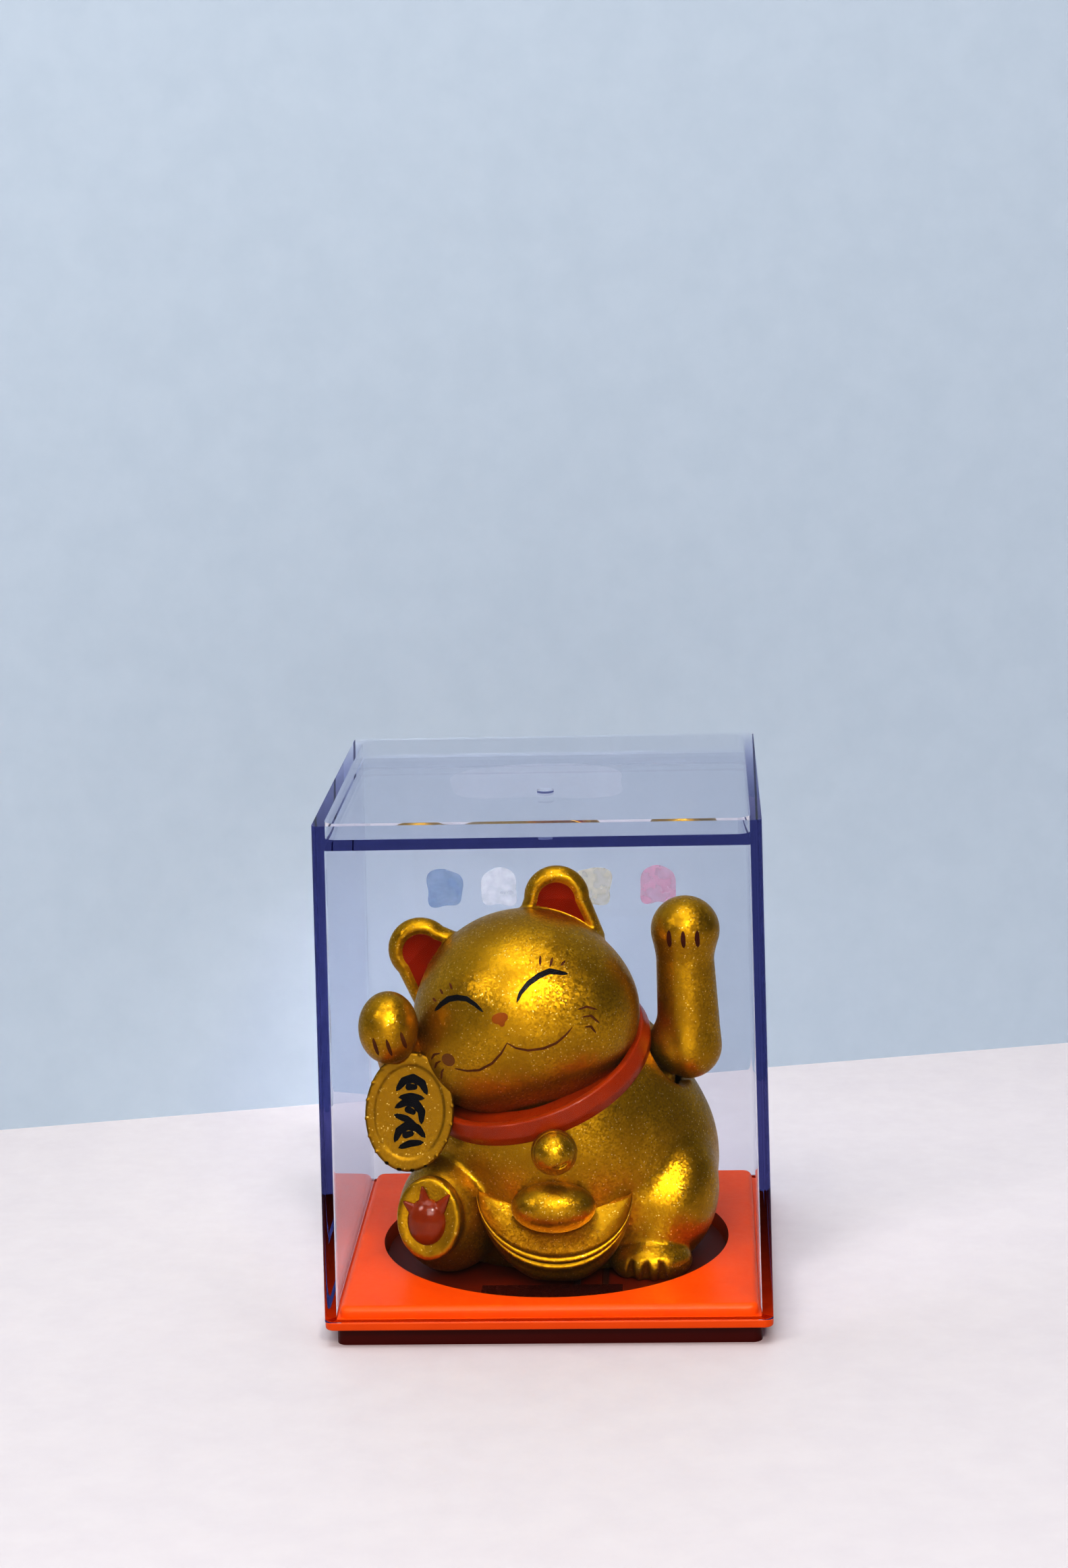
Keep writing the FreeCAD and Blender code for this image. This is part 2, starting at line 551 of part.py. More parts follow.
def make_limbs():
    """Hind legs, planted foot and the raised fixed paw, all moulded with the body."""
    thigh = ellipsoid("thigh", radii_of("thigh"), ("Dim.thigh_x", "Dim.thigh_y", "Dim.thigh_z"))
    foot = ellipsoid("planted_foot", radii_of("foot"), ("Dim.foot_x", "Dim.foot_y", "Dim.foot_z"))
    leg = ellipsoid("stretched_leg", radii_of("leg"), ("Dim.leg_x", "Dim.leg_y", "Dim.leg_z"),
                    "rotationz(Dim.leg_turn)")
    centre = ("Dim.paw_x", "Dim.paw_y", "Dim.paw_z")
    paw = ball("fixed_paw", "Dim.paw_radius", centre)
    forearm = cylinder("fixed_forearm", "Dim.forearm_radius", "Dim.forearm_length", centre,
                       "rotationz(Dim.forearm_turn) * rotationy(Dim.forearm_lean)")
    beside_neck = cylinder("beside_neck", "Dim.collar_radius + Dim.paint_gap", "Dim.collar_height",
                           ("0", "0", "-Dim.collar_height / 2"), NO_TURN, NECK)
    raised = cut("raised_paw", fuse("raised_paw_block", paw, forearm),
                 head_egg("head_at_paw", "(-Dim.paint_gap)"), beside_neck)
    return [thigh, foot, leg, raised]


def bosses(name):
    return [cylinder("%s_%d" % (name, i), "Dim.boss_radius", "Dim.boss_height", (x, y, BASE_TOP))
            for i, (x, y) in enumerate(BASE_SCREWS)]


def make_body_shells():
    ledge = "(-Dim.collar_height / 2)"
    trunk = common("trunk", fuse("trunk_round", torso("torso_outside"), shoulder("shoulder_outside")),
                   below_neck("body_top", ledge))
    standing = box("above_base", (BIG, BIG, BIG), (HALF_BIG, HALF_BIG, BASE_TOP))
    block = common("body_block", fuse("body_outside", trunk, *make_limbs()), standing)
    cavity = common("body_cavity_round",
                    fuse("body_inside", torso("torso_inside", "Dim.shell_wall"),
                         shoulder("shoulder_inside", "Dim.shell_wall")),
                    below_neck("cavity_top", ledge + " - Dim.shell_wall"))
    pocket_wall = box("pocket_wall", (BIG, BIG, BIG),
                      ("Dim.pocket_x - Dim.shell_wall", HALF_BIG, "Dim.pocket_z - Dim.shell_wall"))
    hollow = cut("body_hollow", block, cut("body_cavity", cavity, pocket_wall))
    with_bosses = fuse("body_with_bosses", hollow, *bosses("boss"))
    neck_hole = cylinder("neck_hole", "Dim.neck_hole", "Dim.neck_hole_depth",
                         ("0", "0", "-Dim.neck_hole_depth"), NO_TURN, NECK)
    arm_pocket = box("arm_pocket", (BIG, "Dim.arm_room_depth", BIG),
                     ("Dim.pocket_x", "Dim.swing_y - Dim.arm_room_depth / 2", "Dim.pocket_z"))
    arm_slot = box("arm_slot", ("Dim.slot_width", "Dim.slot_depth", "Dim.slot_height"),
                   ("Dim.pocket_x", "Dim.swing_y - Dim.slot_depth / 2", "Dim.slot_z"))
    pilots = [cylinder("pilot_%d" % i, "Dim.screw_radius", "Dim.screw_length", (x, y, "Dim.recess_floor"))
              for i, (x, y) in enumerate(BASE_SCREWS)]
    whole = cut("body_whole", with_bosses, neck_hole, arm_pocket, arm_slot,
                koban_peg("koban_socket"), bell_peg("bell_socket"), ingot_peg("ingot_socket"), *pilots)
    return [common("body_front_shell", whole, in_front("front_of_body")),
            common("body_rear_shell", whole, behind("back_of_body"))]


# ---- collar, bell, koban and ingot --------------------------------------------------------

def head_egg(name, inset="0"):
    return ellipsoid(name, radii_of("head", inset), ("0", "0", "0"), NO_TURN, HEAD)


def make_collar():
    """Band on the body's neck ledge, whose inside follows the underside of the head."""
    base = ("0", "0", "-Dim.collar_height / 2")
    band = cylinder("collar_band", "Dim.collar_radius", "Dim.collar_height", base, NO_TURN, NECK)
    hole = cylinder("collar_hole", "Dim.collar_inner", "Dim.collar_height", base, NO_TURN, NECK)
    return cut("collar", band, hole, head_egg("head_in_collar"))


def bell_peg(name):
    return cylinder(name, "Dim.peg_radius", "Dim.bell_peg_length",
                    ("Dim.bell_x", "Dim.bell_y + Dim.bell_peg_start", "Dim.bell_z"), "rotationx(-90)")


def make_bell():
    dome = ball("bell_ball", "Dim.bell_radius", ("Dim.bell_x", "Dim.bell_y", "Dim.bell_z"))
    slit = box("bell_slit", ("2 * Dim.bell_radius", "Dim.slit_depth", "Dim.slit_height"),
               ("Dim.bell_x - Dim.bell_radius", "Dim.bell_y - Dim.bell_radius", "Dim.bell_z - Dim.slit_drop"))
    shaped = cut("bell_dome", dome, slit, torso("torso_at_bell"), shoulder("shoulder_at_bell"),
                 cylinder("collar_at_bell", "Dim.collar_radius", "Dim.collar_height",
                          ("0", "0", "-Dim.collar_height / 2"), NO_TURN, NECK))
    return fuse("bell", shaped, bell_peg("bell_peg"))


def koban_peg(name):
    return cylinder(name, "Dim.peg_radius", "Dim.peg_length",
                    ("Dim.koban_peg_x", "Dim.koban_y - Dim.koban_peg_lap", "Dim.koban_peg_z"), "rotationx(-90)")


def make_koban():
    """Oval coin held upright beside the cat, with a locating peg in the body."""
    outline = primitive("Ellipse", "koban_outline",
                        {"MajorRadius": "Dim.koban_long", "MinorRadius": "Dim.koban_short"},
                        ("Dim.koban_x", "Dim.koban_y", "Dim.koban_z"),
                        "rotationx(90) * rotationz(90 + Dim.koban_tilt)")
    plate = doc.addObject("Part::Extrusion", "koban_plate")
    plate.Base = outline
    plate.DirMode = "Custom"
    plate.Dir = FreeCAD.Vector(0, -1, 0)
    plate.setExpression("LengthFwd", "Dim.koban_thickness")
    plate.Solid = True
    return fuse("koban", plate, koban_peg("koban_peg"))


def ingot_peg(name):
    return cylinder(name, "Dim.peg_radius", "Dim.ingot_peg_length",
                    ("Dim.ingot_x", "Dim.ingot_y", "Dim.ingot_peg_z"), "rotationx(-90)")


def make_ingot():
    """Boat-shaped ingot leaning on the belly, with a domed middle between its two horns."""
    hull = ellipsoid("ingot_hull", radii_of("ingot"), ("Dim.ingot_x", "Dim.ingot_y", "Dim.ingot_z"))
    upper = box("ingot_upper", (BIG, BIG, BIG), (HALF_BIG, HALF_BIG, "Dim.ingot_z"))
    dish = ellipsoid("ingot_dish", radii_of("dish"),
                     ("Dim.ingot_x", "Dim.ingot_y", "Dim.ingot_z + Dim.dish_lift"))
    boat = cut("ingot_boat", hull, upper, dish)
    dome = ellipsoid("ingot_dome", radii_of("dome"),
                     ("Dim.ingot_x", "Dim.ingot_y - Dim.dome_forward", "Dim.dome_z"))
    under = box("ingot_under", (BIG, BIG, BIG), (HALF_BIG, HALF_BIG, "%s - %s" % (BASE_TOP, BIG)))
    limbs_apart = ["thigh", "planted_foot", "stretched_leg"]
    shaped = cut("ingot_shape", fuse("ingot_solid", boat, dome), under, torso("torso_at_ingot"),
                 shoulder("shoulder_at_ingot"), *[doc.getObject(limb) for limb in limbs_apart])
    return fuse("ingot", shaped, ingot_peg("ingot_peg"))


# ---- head ---------------------------------------------------------------------------------

def make_head_shells():
    ears = [ellipsoid("ear_" + side, ("Dim.ear_rx", "Dim.ear_ry", "Dim.ear_rz"),
                      ("Dim.ear_%s_x" % side, "Dim.ear_y", "Dim.ear_z"),
                      "rotationy(Dim.ear_%s_lean)" % side, HEAD) for side in ("right", "left")]
    foot_level = "(-Dim.collar_height / 2)"
    outside = common("head_block", fuse("head_outside", head_egg("head_shape"), *ears),
                     above_neck("head_foot", foot_level))
    cavity = common("head_cavity", head_egg("head_inside", "Dim.shell_wall"),
                    above_neck("head_floor", foot_level + " + Dim.shell_wall"))
    spigot = cylinder("head_spigot", "Dim.neck_hole - Dim.spigot_gap", "Dim.spigot_length",
                      ("0", "0", "-Dim.spigot_depth"), NO_TURN, NECK)
    bore = cylinder("head_bore", "Dim.neck_hole - Dim.spigot_gap - Dim.shell_wall", "Dim.bore_length",
                    ("0", "0", "-Dim.bore_depth"), NO_TURN, NECK)
    whole = cut("head_whole", fuse("head_with_spigot", outside, spigot), cavity, bore)
    return [common("head_front_shell", whole, in_front("front_of_head")),
            common("head_rear_shell", whole, behind("back_of_head"))]


# ---- swinging arm and pendulum ---------------------------------------------------------------

def arm_shape(name, inset="0"):
    """Paw, straight forearm and rounded elbow, standing upright."""
    x, y = "Dim.arm_x", "Dim.swing_y"
    paw = ball(name + "_paw", "Dim.arm_paw_radius - " + inset, (x, y, "Dim.arm_paw_z"))
    forearm = cylinder(name + "_forearm", "Dim.arm_radius - " + inset, "Dim.arm_paw_z - Dim.arm_elbow_z",
                       (x, y, "Dim.arm_elbow_z"))
    elbow = ellipsoid(name + "_elbow", radii_of("elbow", inset),
                      ("Dim.arm_x - Dim.elbow_shift", y, "Dim.arm_elbow_z"))
    return fuse(name, paw, forearm, elbow)


def make_arm_halves():
    """Hollow arm in two glued halves; a flat shank goes down through the body to the axle."""
    floor = box("arm_floor", ("Dim.arm_floor_width", BIG, BIG),
                ("Dim.pocket_x", HALF_BIG, "Dim.pocket_z + Dim.arm_floor_gap - " + BIG))
    skin = cut("arm_skin", arm_shape("arm_outside"), floor, torso("torso_at_arm", "(-Dim.arm_body_gap)"))
    core_space = box("arm_core_space", (BIG, BIG, BIG),
                     (HALF_BIG, HALF_BIG, "Dim.pocket_z + Dim.arm_core_lift"))
    core = common("arm_core", arm_shape("arm_inside", "Dim.arm_wall"), core_space)
    hollow = cut("arm_hollow", skin, core)
    shank = box("arm_shank", ("Dim.shank_width", "Dim.shank_depth", "Dim.shank_length"),
                ("Dim.shank_x", "Dim.swing_y - Dim.shank_depth / 2", "Dim.pivot_z"))
    hub = cylinder("arm_hub", "Dim.hub_radius", "Dim.shank_width",
                   ("Dim.shank_x", "Dim.swing_y", "Dim.pivot_z"), "rotationy(90)")
    hole = cylinder("arm_axle_hole", "Dim.axle_radius", "Dim.shank_width",
                    ("Dim.shank_x", "Dim.swing_y", "Dim.pivot_z"), "rotationy(90)")
    whole = cut("arm_whole", fuse("arm_with_shank", hollow, shank, hub), hole)
    front = box("front_of_arm", (BIG, BIG, BIG), (HALF_BIG, "Dim.swing_y - " + BIG, "0"))
    back = box("back_of_arm", (BIG, BIG, BIG), (HALF_BIG, "Dim.swing_y", "0"))
    return [common("arm_front_half", whole, front), common("arm_rear_half", whole, back)]


def make_axle():
    return cylinder("arm_axle", "Dim.axle_radius", "Dim.axle_length",
                    ("Dim.axle_start", "Dim.swing_y", "Dim.pivot_z"), "rotationy(90)")


def make_axle_bushes():
    bushes = []
    for i, x in enumerate(("Dim.frame_left", "Dim.frame_right - Dim.upright_width")):
        base = (x, "Dim.swing_y", "Dim.pivot_z")
        ring = cylinder("bush_ring_%d" % i, "Dim.bush_radius", "Dim.upright_width", base, "rotationy(90)")
        bore = cylinder("bush_bore_%d" % i, "Dim.axle_radius + Dim.bush_clearance", "Dim.upright_width",
                        base, "rotationy(90)")
        bushes.append(cut("bush_%d" % i, ring, bore))
    return fuse("axle_bushes", *bushes)


def make_pendulum_lever():
    """Hub on the axle, a flat strip hanging from it, and a cup plate for magnet and weight."""
    body = new_body("pendulum_lever", ("Dim.pendulum_x", "Dim.swing_y", "Dim.pivot_z"))
    hub = new_sketch(body, "hub", "0", "YZ_Plane")
    add_circle(hub, "Dim.hub_radius")
    pad(body, hub, "Dim.lever_hub_width", midplane=True)
    drop = "(Dim.pivot_z - Dim.cup_z)"
    strip = new_sketch(body, "strip", "0", "YZ_Plane")
    add_rectangle(strip, "Dim.lever_width", "(%s - Dim.lever_lap)" % drop, "0",
                  "(-(%s + Dim.lever_lap) / 2)" % drop)
    pad(body, strip, "Dim.lever_thickness", midplane=True)
    cup = new_sketch(body, "cup", "-" + drop)
    add_circle(cup, "Dim.cup_radius")
    pad(body, cup, "Dim.cup_thickness")
    axle_hole = new_sketch(body, "axle_hole", "-Dim.lever_hub_width", "YZ_Plane")
    add_circle(axle_hole, "Dim.axle_radius")
    pocket(body, axle_hole, "2 * Dim.lever_hub_width", backwards=True)
    return body


def make_magnet():
    return cylinder("swing_magnet", "Dim.magnet_radius", "Dim.magnet_height",
                    ("Dim.pendulum_x", "Dim.swing_y", "Dim.cup_z - Dim.magnet_height"))


def make_counterweight():
    base = ("Dim.pendulum_x", "Dim.swing_y", "Dim.cup_z + Dim.cup_thickness")
    slug = cylinder("weight_slug", "Dim.weight_radius", "Dim.weight_height", base)
    slot = box("weight_slot", ("Dim.lever_thickness", "Dim.lever_width", BIG),
               ("Dim.pendulum_x - Dim.lever_thickness / 2", "Dim.swing_y - Dim.lever_width / 2", "0"))
    return cut("counterweight", slug, slot)


def main():
    body_shells = make_body_shells()
    parts = [make_tray(), make_cover(), make_rear_label(), make_base_plate(), make_base_screws(),
             make_solar_cell(), make_cell_strips(), make_swing_frame(), make_frame_screws(),
             make_circuit_board(), make_driver_chip(), make_capacitor(), make_coil_bobbin(),
             make_coil_winding(), make_collar(), make_bell(), make_koban(), make_ingot(),
             make_axle(), make_axle_bushes(), make_pendulum_lever(), make_magnet(),
             make_counterweight()]
    parts += body_shells + make_head_shells() + make_arm_halves()
    doc.recompute()
    for item in doc.Objects:
        if "Invalid" in item.State or "Error" in item.State:
            raise RuntimeError(item.Name + " failed: " + str(item.State))
    os.makedirs("parts", exist_ok=True)
    for item in parts:
        shape = item.Shape
        if shape.isNull() or not shape.isValid():
            raise RuntimeError(item.Label + " has no valid shape")
        print("%-18s solids %d volume %9.2f" % (item.Label, len(shape.Solids), shape.Volume))
        shape.exportStep("parts/%s.step" % item.Label)


main()
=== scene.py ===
"""Beckoning cat figurine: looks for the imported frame.

Shapes are worked out in millimetres and stored in metres.
"""

import json
import math

import bpy
import numpy as np
from mathutils import Matrix, Vector

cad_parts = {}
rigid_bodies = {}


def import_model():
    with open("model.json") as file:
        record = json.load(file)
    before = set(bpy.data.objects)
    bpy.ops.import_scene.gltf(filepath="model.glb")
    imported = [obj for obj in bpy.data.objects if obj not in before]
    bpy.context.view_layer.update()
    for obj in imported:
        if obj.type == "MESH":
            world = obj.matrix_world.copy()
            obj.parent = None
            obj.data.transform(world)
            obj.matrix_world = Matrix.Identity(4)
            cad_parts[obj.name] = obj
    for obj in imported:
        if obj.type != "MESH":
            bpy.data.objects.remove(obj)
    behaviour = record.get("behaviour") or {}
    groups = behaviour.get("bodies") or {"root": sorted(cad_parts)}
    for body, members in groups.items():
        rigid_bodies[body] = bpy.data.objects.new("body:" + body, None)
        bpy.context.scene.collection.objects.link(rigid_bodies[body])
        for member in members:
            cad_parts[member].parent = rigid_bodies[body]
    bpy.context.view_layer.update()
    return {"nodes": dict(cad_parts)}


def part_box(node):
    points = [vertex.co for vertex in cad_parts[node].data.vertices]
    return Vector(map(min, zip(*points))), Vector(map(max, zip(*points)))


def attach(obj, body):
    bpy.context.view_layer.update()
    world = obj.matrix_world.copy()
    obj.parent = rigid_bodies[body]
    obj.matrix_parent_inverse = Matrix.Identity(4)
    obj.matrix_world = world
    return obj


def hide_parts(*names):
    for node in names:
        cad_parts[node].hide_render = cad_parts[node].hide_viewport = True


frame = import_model()

MM = 0.001


# ---- Distance fields, in millimetres ------------------------------------------------------------

def turn(x=0.0, y=0.0, z=0.0):
    """Rotation matrix: about x, then y, then z, in degrees."""
    rotations = [Matrix.Rotation(math.radians(a), 3, axis) for a, axis in ((x, "X"), (y, "Y"), (z, "Z"))]
    return np.array(rotations[2] @ rotations[1] @ rotations[0], float)


def local(points, centre, basis):
    """Points as seen from a centre and a turned basis."""
    return (points - np.array(centre, float)) @ basis


def ball(points, centre, radius):
    return np.linalg.norm(points - np.array(centre, float), axis=-1) - radius


def egg(points, centre, radii, basis=None):
    q = points - np.array(centre, float)
    if basis is not None:
        q = q @ basis
    q = q / np.array(radii, float)
    near = np.linalg.norm(q, axis=-1)
    steep = np.linalg.norm(q / np.array(radii, float), axis=-1)
    return near * (near - 1) / np.maximum(steep, 1e-9)


def limb(points, start, end, start_radius, end_radius):
    """A rod between two points that tapers from one radius to the other."""
    start = np.array(start, float)
    axis = np.array(end, float) - start
    along = np.clip(((points - start) @ axis) / (axis @ axis), 0, 1)
    off = np.linalg.norm(points - start - along[..., None] * axis, axis=-1)
    return off - (start_radius + (end_radius - start_radius) * along)


def chain(points, corners, radius):
    """The same rod laid through several points; it thins to a point at both ends."""
    corners = [np.array(c, float) for c in corners]
    path = [a + (b - a) * k / 4 for a, b in zip(corners, corners[1:]) for k in range(4)] + [corners[-1]]
    lengths = [math.dist(a, b) for a, b in zip(path, path[1:])]
    total, done, best = sum(lengths), 0.0, None
    for a, b, length in zip(path, path[1:], lengths):
        shares = (done / total, min(1.0, (done + length) / total))
        widths = [radius * (0.2 + 0.8 * math.sqrt(max(0.0, math.sin(math.pi * t)))) for t in shares]
        rod = limb(points, a, b, *widths)
        best = rod if best is None else np.minimum(best, rod)
        done += length
    return best


def join(a, b, blend):
    h = np.clip(0.5 + 0.5 * (b - a) / blend, 0, 1)
    return b + (a - b) * h - blend * h * (1 - h)


def carve(a, b, blend):
    """a with b taken away."""
    return -join(-a, b, blend)


def gradient(field, points, step=0.02):
    columns = []
    for axis in range(3):
        shift = np.zeros(3)
        shift[axis] = step
        columns.append(field(points + shift) - field(points - shift))
    return np.stack(columns, -1) / (2 * step)


def unit(vectors):
    return vectors / np.maximum(np.linalg.norm(vectors, axis=-1, keepdims=True), 1e-12)


def settle(field, points, rounds=3, reach=0.5):
    """Move points onto the field's surface."""
    for _ in range(rounds):
        slope = gradient(field, points)
        steep = np.maximum((slope ** 2).sum(-1), 1e-6)
        move = (field(points) / steep)[:, None] * slope
        length = np.linalg.norm(move, axis=-1, keepdims=True)
        points = points - move * np.minimum(1, reach / np.maximum(length, 1e-9))
    return points


def surface_net(field, low, high, step):
    """Quads round the zero level of a field: one point in each cell that the surface crosses."""
    axes = [np.arange(a, b + step, step) for a, b in zip(low, high)]
    grid = np.stack(np.meshgrid(*axes, indexing="ij"), -1)
    values = field(grid.reshape(-1, 3)).reshape(grid.shape[:3])
    cells = tuple(n - 1 for n in values.shape)
    total, count = np.zeros(cells + (3,)), np.zeros(cells)
    crossings = []
    for axis in range(3):
        first = [slice(None)] * 3
        second = [slice(None)] * 3
        first[axis], second[axis] = slice(0, -1), slice(1, None)
        a, b = values[tuple(first)], values[tuple(second)]
        crossing = (a < 0) != (b < 0)
        point = grid[tuple(first)].copy()
        point[..., axis] += np.where(crossing, a / np.where(crossing, a - b, 1), 0) * step
        point *= crossing[..., None]
        u, v = (axis + 1) % 3, (axis + 2) % 3
        for du in (0, 1):
            for dv in (0, 1):
                part = [slice(None)] * 3
                part[u] = slice(du, values.shape[u] - 1 + du)
                part[v] = slice(dv, values.shape[v] - 1 + dv)
                total += point[tuple(part)]
                count += crossing[tuple(part)]
        crossings.append((axis, u, v, crossing, a < 0))
    used = count > 0
    number = np.full(cells, -1)
    number[used] = np.arange(used.sum())
    points = total[used] / count[used][:, None]
    faces = []
    for axis, u, v, crossing, outward in crossings:
        where = np.argwhere(crossing)
        keep = (where[:, u] > 0) & (where[:, v] > 0) & (where[:, u] < cells[u]) & (where[:, v] < cells[v])
        where = where[keep]
        corners = []
        for du, dv in ((1, 1), (0, 1), (0, 0), (1, 0)):
            cell = where.copy()
            cell[:, u] -= du
            cell[:, v] -= dv
            corners.append(number[tuple(cell.T)])
        quads = np.stack(corners, -1)
        flip = ~outward[tuple(where.T)]
        quads[flip] = quads[flip][:, ::-1]
        faces.append(quads)
    return points, np.concatenate(faces)


def relax(points, faces, rounds, share=0.5):
    """Even out the spacing of a quad mesh."""
    edges = np.concatenate([faces[:, [k, (k + 1) % 4]] for k in range(4)])
    for _ in range(rounds):
        total, count = np.zeros_like(points), np.zeros(len(points))
        for a, b in ((0, 1), (1, 0)):
            np.add.at(total, edges[:, a], points[edges[:, b]])
            np.add.at(count, edges[:, a], 1)
        points = points + share * (total / np.maximum(count, 1)[:, None] - points)
    return points


def modelled(field, low, high, step):
    points, faces = surface_net(field, low, high, step)
    points = relax(points, faces, 2)
    points = settle(field, points, 2, step / 2)
    points = relax(points, faces, 1, 0.3)
    return settle(field, points, 1, step / 4), faces


# ---- Objects ---------------------------------------------------------------------------------------

def add_mesh(name, points, faces, material, body="figure", replaced=(), smooth=True):
    """A piece in the row frame from points in millimetres."""
    mesh = bpy.data.meshes.new(name)
    mesh.from_pydata((np.array(points, float) * MM).tolist(), [], [list(map(int, f)) for f in faces])
    mesh.validate()
    mesh.update()
    mesh.polygons.foreach_set("use_smooth", [smooth] * len(mesh.polygons))
    mesh.materials.append(material)
    piece = bpy.data.objects.new(name, mesh)
    bpy.context.scene.collection.objects.link(piece)
    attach(piece, body)
    if replaced:
        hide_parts(*replaced)
    return piece


def triangles_of(quads):
    quads = np.array(quads)
    return np.concatenate([quads[:, [0, 1, 2]], quads[:, [0, 2, 3]]])


def split_triangles(points, tris):
    """Each triangle becomes four."""
    edges = np.sort(np.concatenate([tris[:, [0, 1]], tris[:, [1, 2]], tris[:, [2, 0]]]), axis=1)
    unique, index = np.unique(edges, axis=0, return_inverse=True)
    index = index.reshape(3, -1) + len(points)
    ab, bc, ca = index
    a, b, c = tris.T
    made = [np.stack(t, -1) for t in ((a, ab, ca), (ab, b, bc), (ca, bc, c), (ab, bc, ca))]
    return np.concatenate([points, points[unique].mean(1)]), np.concatenate(made)


def compact(points, tris):
    used, index = np.unique(tris, return_inverse=True)
    return points[used], index.reshape(tris.shape)


def clip_triangles(points, tris, values):
    """The part of a triangle mesh where the value is negative, cut exactly at zero."""
    points, made, cuts = list(points), [], {}

    def cut(i, j):
        key = (min(i, j), max(i, j))
        if key not in cuts:
            t = values[i] / (values[i] - values[j])
            cuts[key] = len(points)
            points.append(points[i] + (points[j] - points[i]) * t)
        return cuts[key]

    for tri in tris.tolist():
        inside = [values[i] < 0 for i in tri]
        if all(inside):
            made.append(tri)
        elif any(inside):
            ring = []
            for k in range(3):
                i, j = tri[k], tri[(k + 1) % 3]
                if values[i] < 0:
                    ring.append(i)
                if (values[i] < 0) != (values[j] < 0):
                    ring.append(cut(i, j))
            for k in range(1, len(ring) - 1):
                made.append([ring[0], ring[k], ring[k + 1]])
    return np.array(points), np.array(made)


def painted(name, base, region, material, levels=2, lift=0.05, body="figure"):
    """A thin coat of paint on a modelled surface.

    base is (field, points, quads); region is negative where the paint lies.
    """
    field, points, quads = base
    tris = triangles_of(quads)
    for level in range(levels + 1):
        values = region(points)
        edge = np.linalg.norm(points[tris[:, 0]] - points[tris[:, 1]], axis=-1)
        tris = tris[values[tris].min(-1) < edge + 0.05]
        points, tris = compact(points, tris)
        if level < levels:
            points, tris = split_triangles(points, tris)
    points = settle(field, points, 2, 0.2)
    points, tris = clip_triangles(points, tris, region(points))
    points, tris = compact(points, tris)
    normals = unit(gradient(field, points))
    count = len(points)
    directed = np.concatenate([tris[:, [0, 1]], tris[:, [1, 2]], tris[:, [2, 0]]])
    known = set(map(tuple, directed.tolist()))
    rim = [(i, j) for i, j in known if (j, i) not in known]
    walls = [(j, i, i + count, j + count) for i, j in sorted(rim)]
    faces = tris.tolist() + (tris[:, ::-1] + count).tolist() + walls
    solid = np.concatenate([points + normals * lift, points - normals * 0.12])
    return add_mesh(name, solid, faces, material, body)


# ---- Materials -------------------------------------------------------------------------------------

class Nodes:
    """Short names for building a node tree."""

    def __init__(self, name):
        self.material = bpy.data.materials.new(name)
        self.material.use_nodes = True
        self.tree = self.material.node_tree
        self.shader = self.tree.nodes["Principled BSDF"]
        self.output = self.tree.nodes["Material Output"]
        self.place = self.add("ShaderNodeTexCoord").outputs["Object"]

    def add(self, kind, **values):
        node = self.tree.nodes.new(kind)
        for key, value in values.items():
            setattr(node, key, value)
        return node

    def link(self, source, target):
        self.tree.links.new(source, target)

    def set(self, **values):
        for key, value in values.items():
            self.shader.inputs[key.replace("_", " ")].default_value = value

    def noise(self, scale, detail=3.0, rough=0.55):
        node = self.add("ShaderNodeTexNoise")
        node.inputs["Scale"].default_value = scale
        node.inputs["Detail"].default_value = detail
        node.inputs["Roughness"].default_value = rough
        self.link(self.place, node.inputs["Vector"])
        return node.outputs["Fac"]

    def spread(self, source, low, high, start=0.35, end=0.65):
        node = self.add("ShaderNodeMapRange")
        for key, value in (("From Min", start), ("From Max", end), ("To Min", low), ("To Max", high)):
            node.inputs[key].default_value = value
        self.link(source, node.inputs["Value"])
        return node.outputs["Result"]

    def blend(self, factor, a, b):
        node = self.add("ShaderNodeMix", data_type="RGBA")
        for key, value in (("A", a), ("B", b)):
            socket = [s for s in node.inputs if s.name == key and s.type == "RGBA"][0]
            if isinstance(value, tuple):
                socket.default_value = (*value, 1)
            else:
                self.link(value, socket)
        self.link(factor, node.inputs["Factor"])
        return [s for s in node.outputs if s.type == "RGBA"][0]

    def bump(self, source, distance, strength=1.0):
        node = self.add("ShaderNodeBump")
        node.inputs["Distance"].default_value = distance
        node.inputs["Strength"].default_value = strength
        self.link(source, node.inputs["Height"])
        return node.outputs["Normal"]


GRAIN_DEPTH = 0.00001


def moulded(name, colour, shade, rough, metallic=0.0, coat=0.0, coat_rough=0.1, grain=2500, **more):
    """A moulded, painted or turned surface: slow colour drift, fine grain in gloss and bump."""
    n = Nodes(name)
    n.set(Metallic=metallic, Coat_Weight=coat, Coat_Roughness=coat_rough, **more)
    n.link(n.blend(n.spread(n.noise(140), 0, 1), colour, shade), n.shader.inputs["Base Color"])
    n.link(n.spread(n.noise(grain), rough * 0.85, rough * 1.15), n.shader.inputs["Roughness"])
    n.link(n.bump(n.noise(grain * 1.3, 2), GRAIN_DEPTH, 0.6), n.shader.inputs["Normal"])
    return n.material


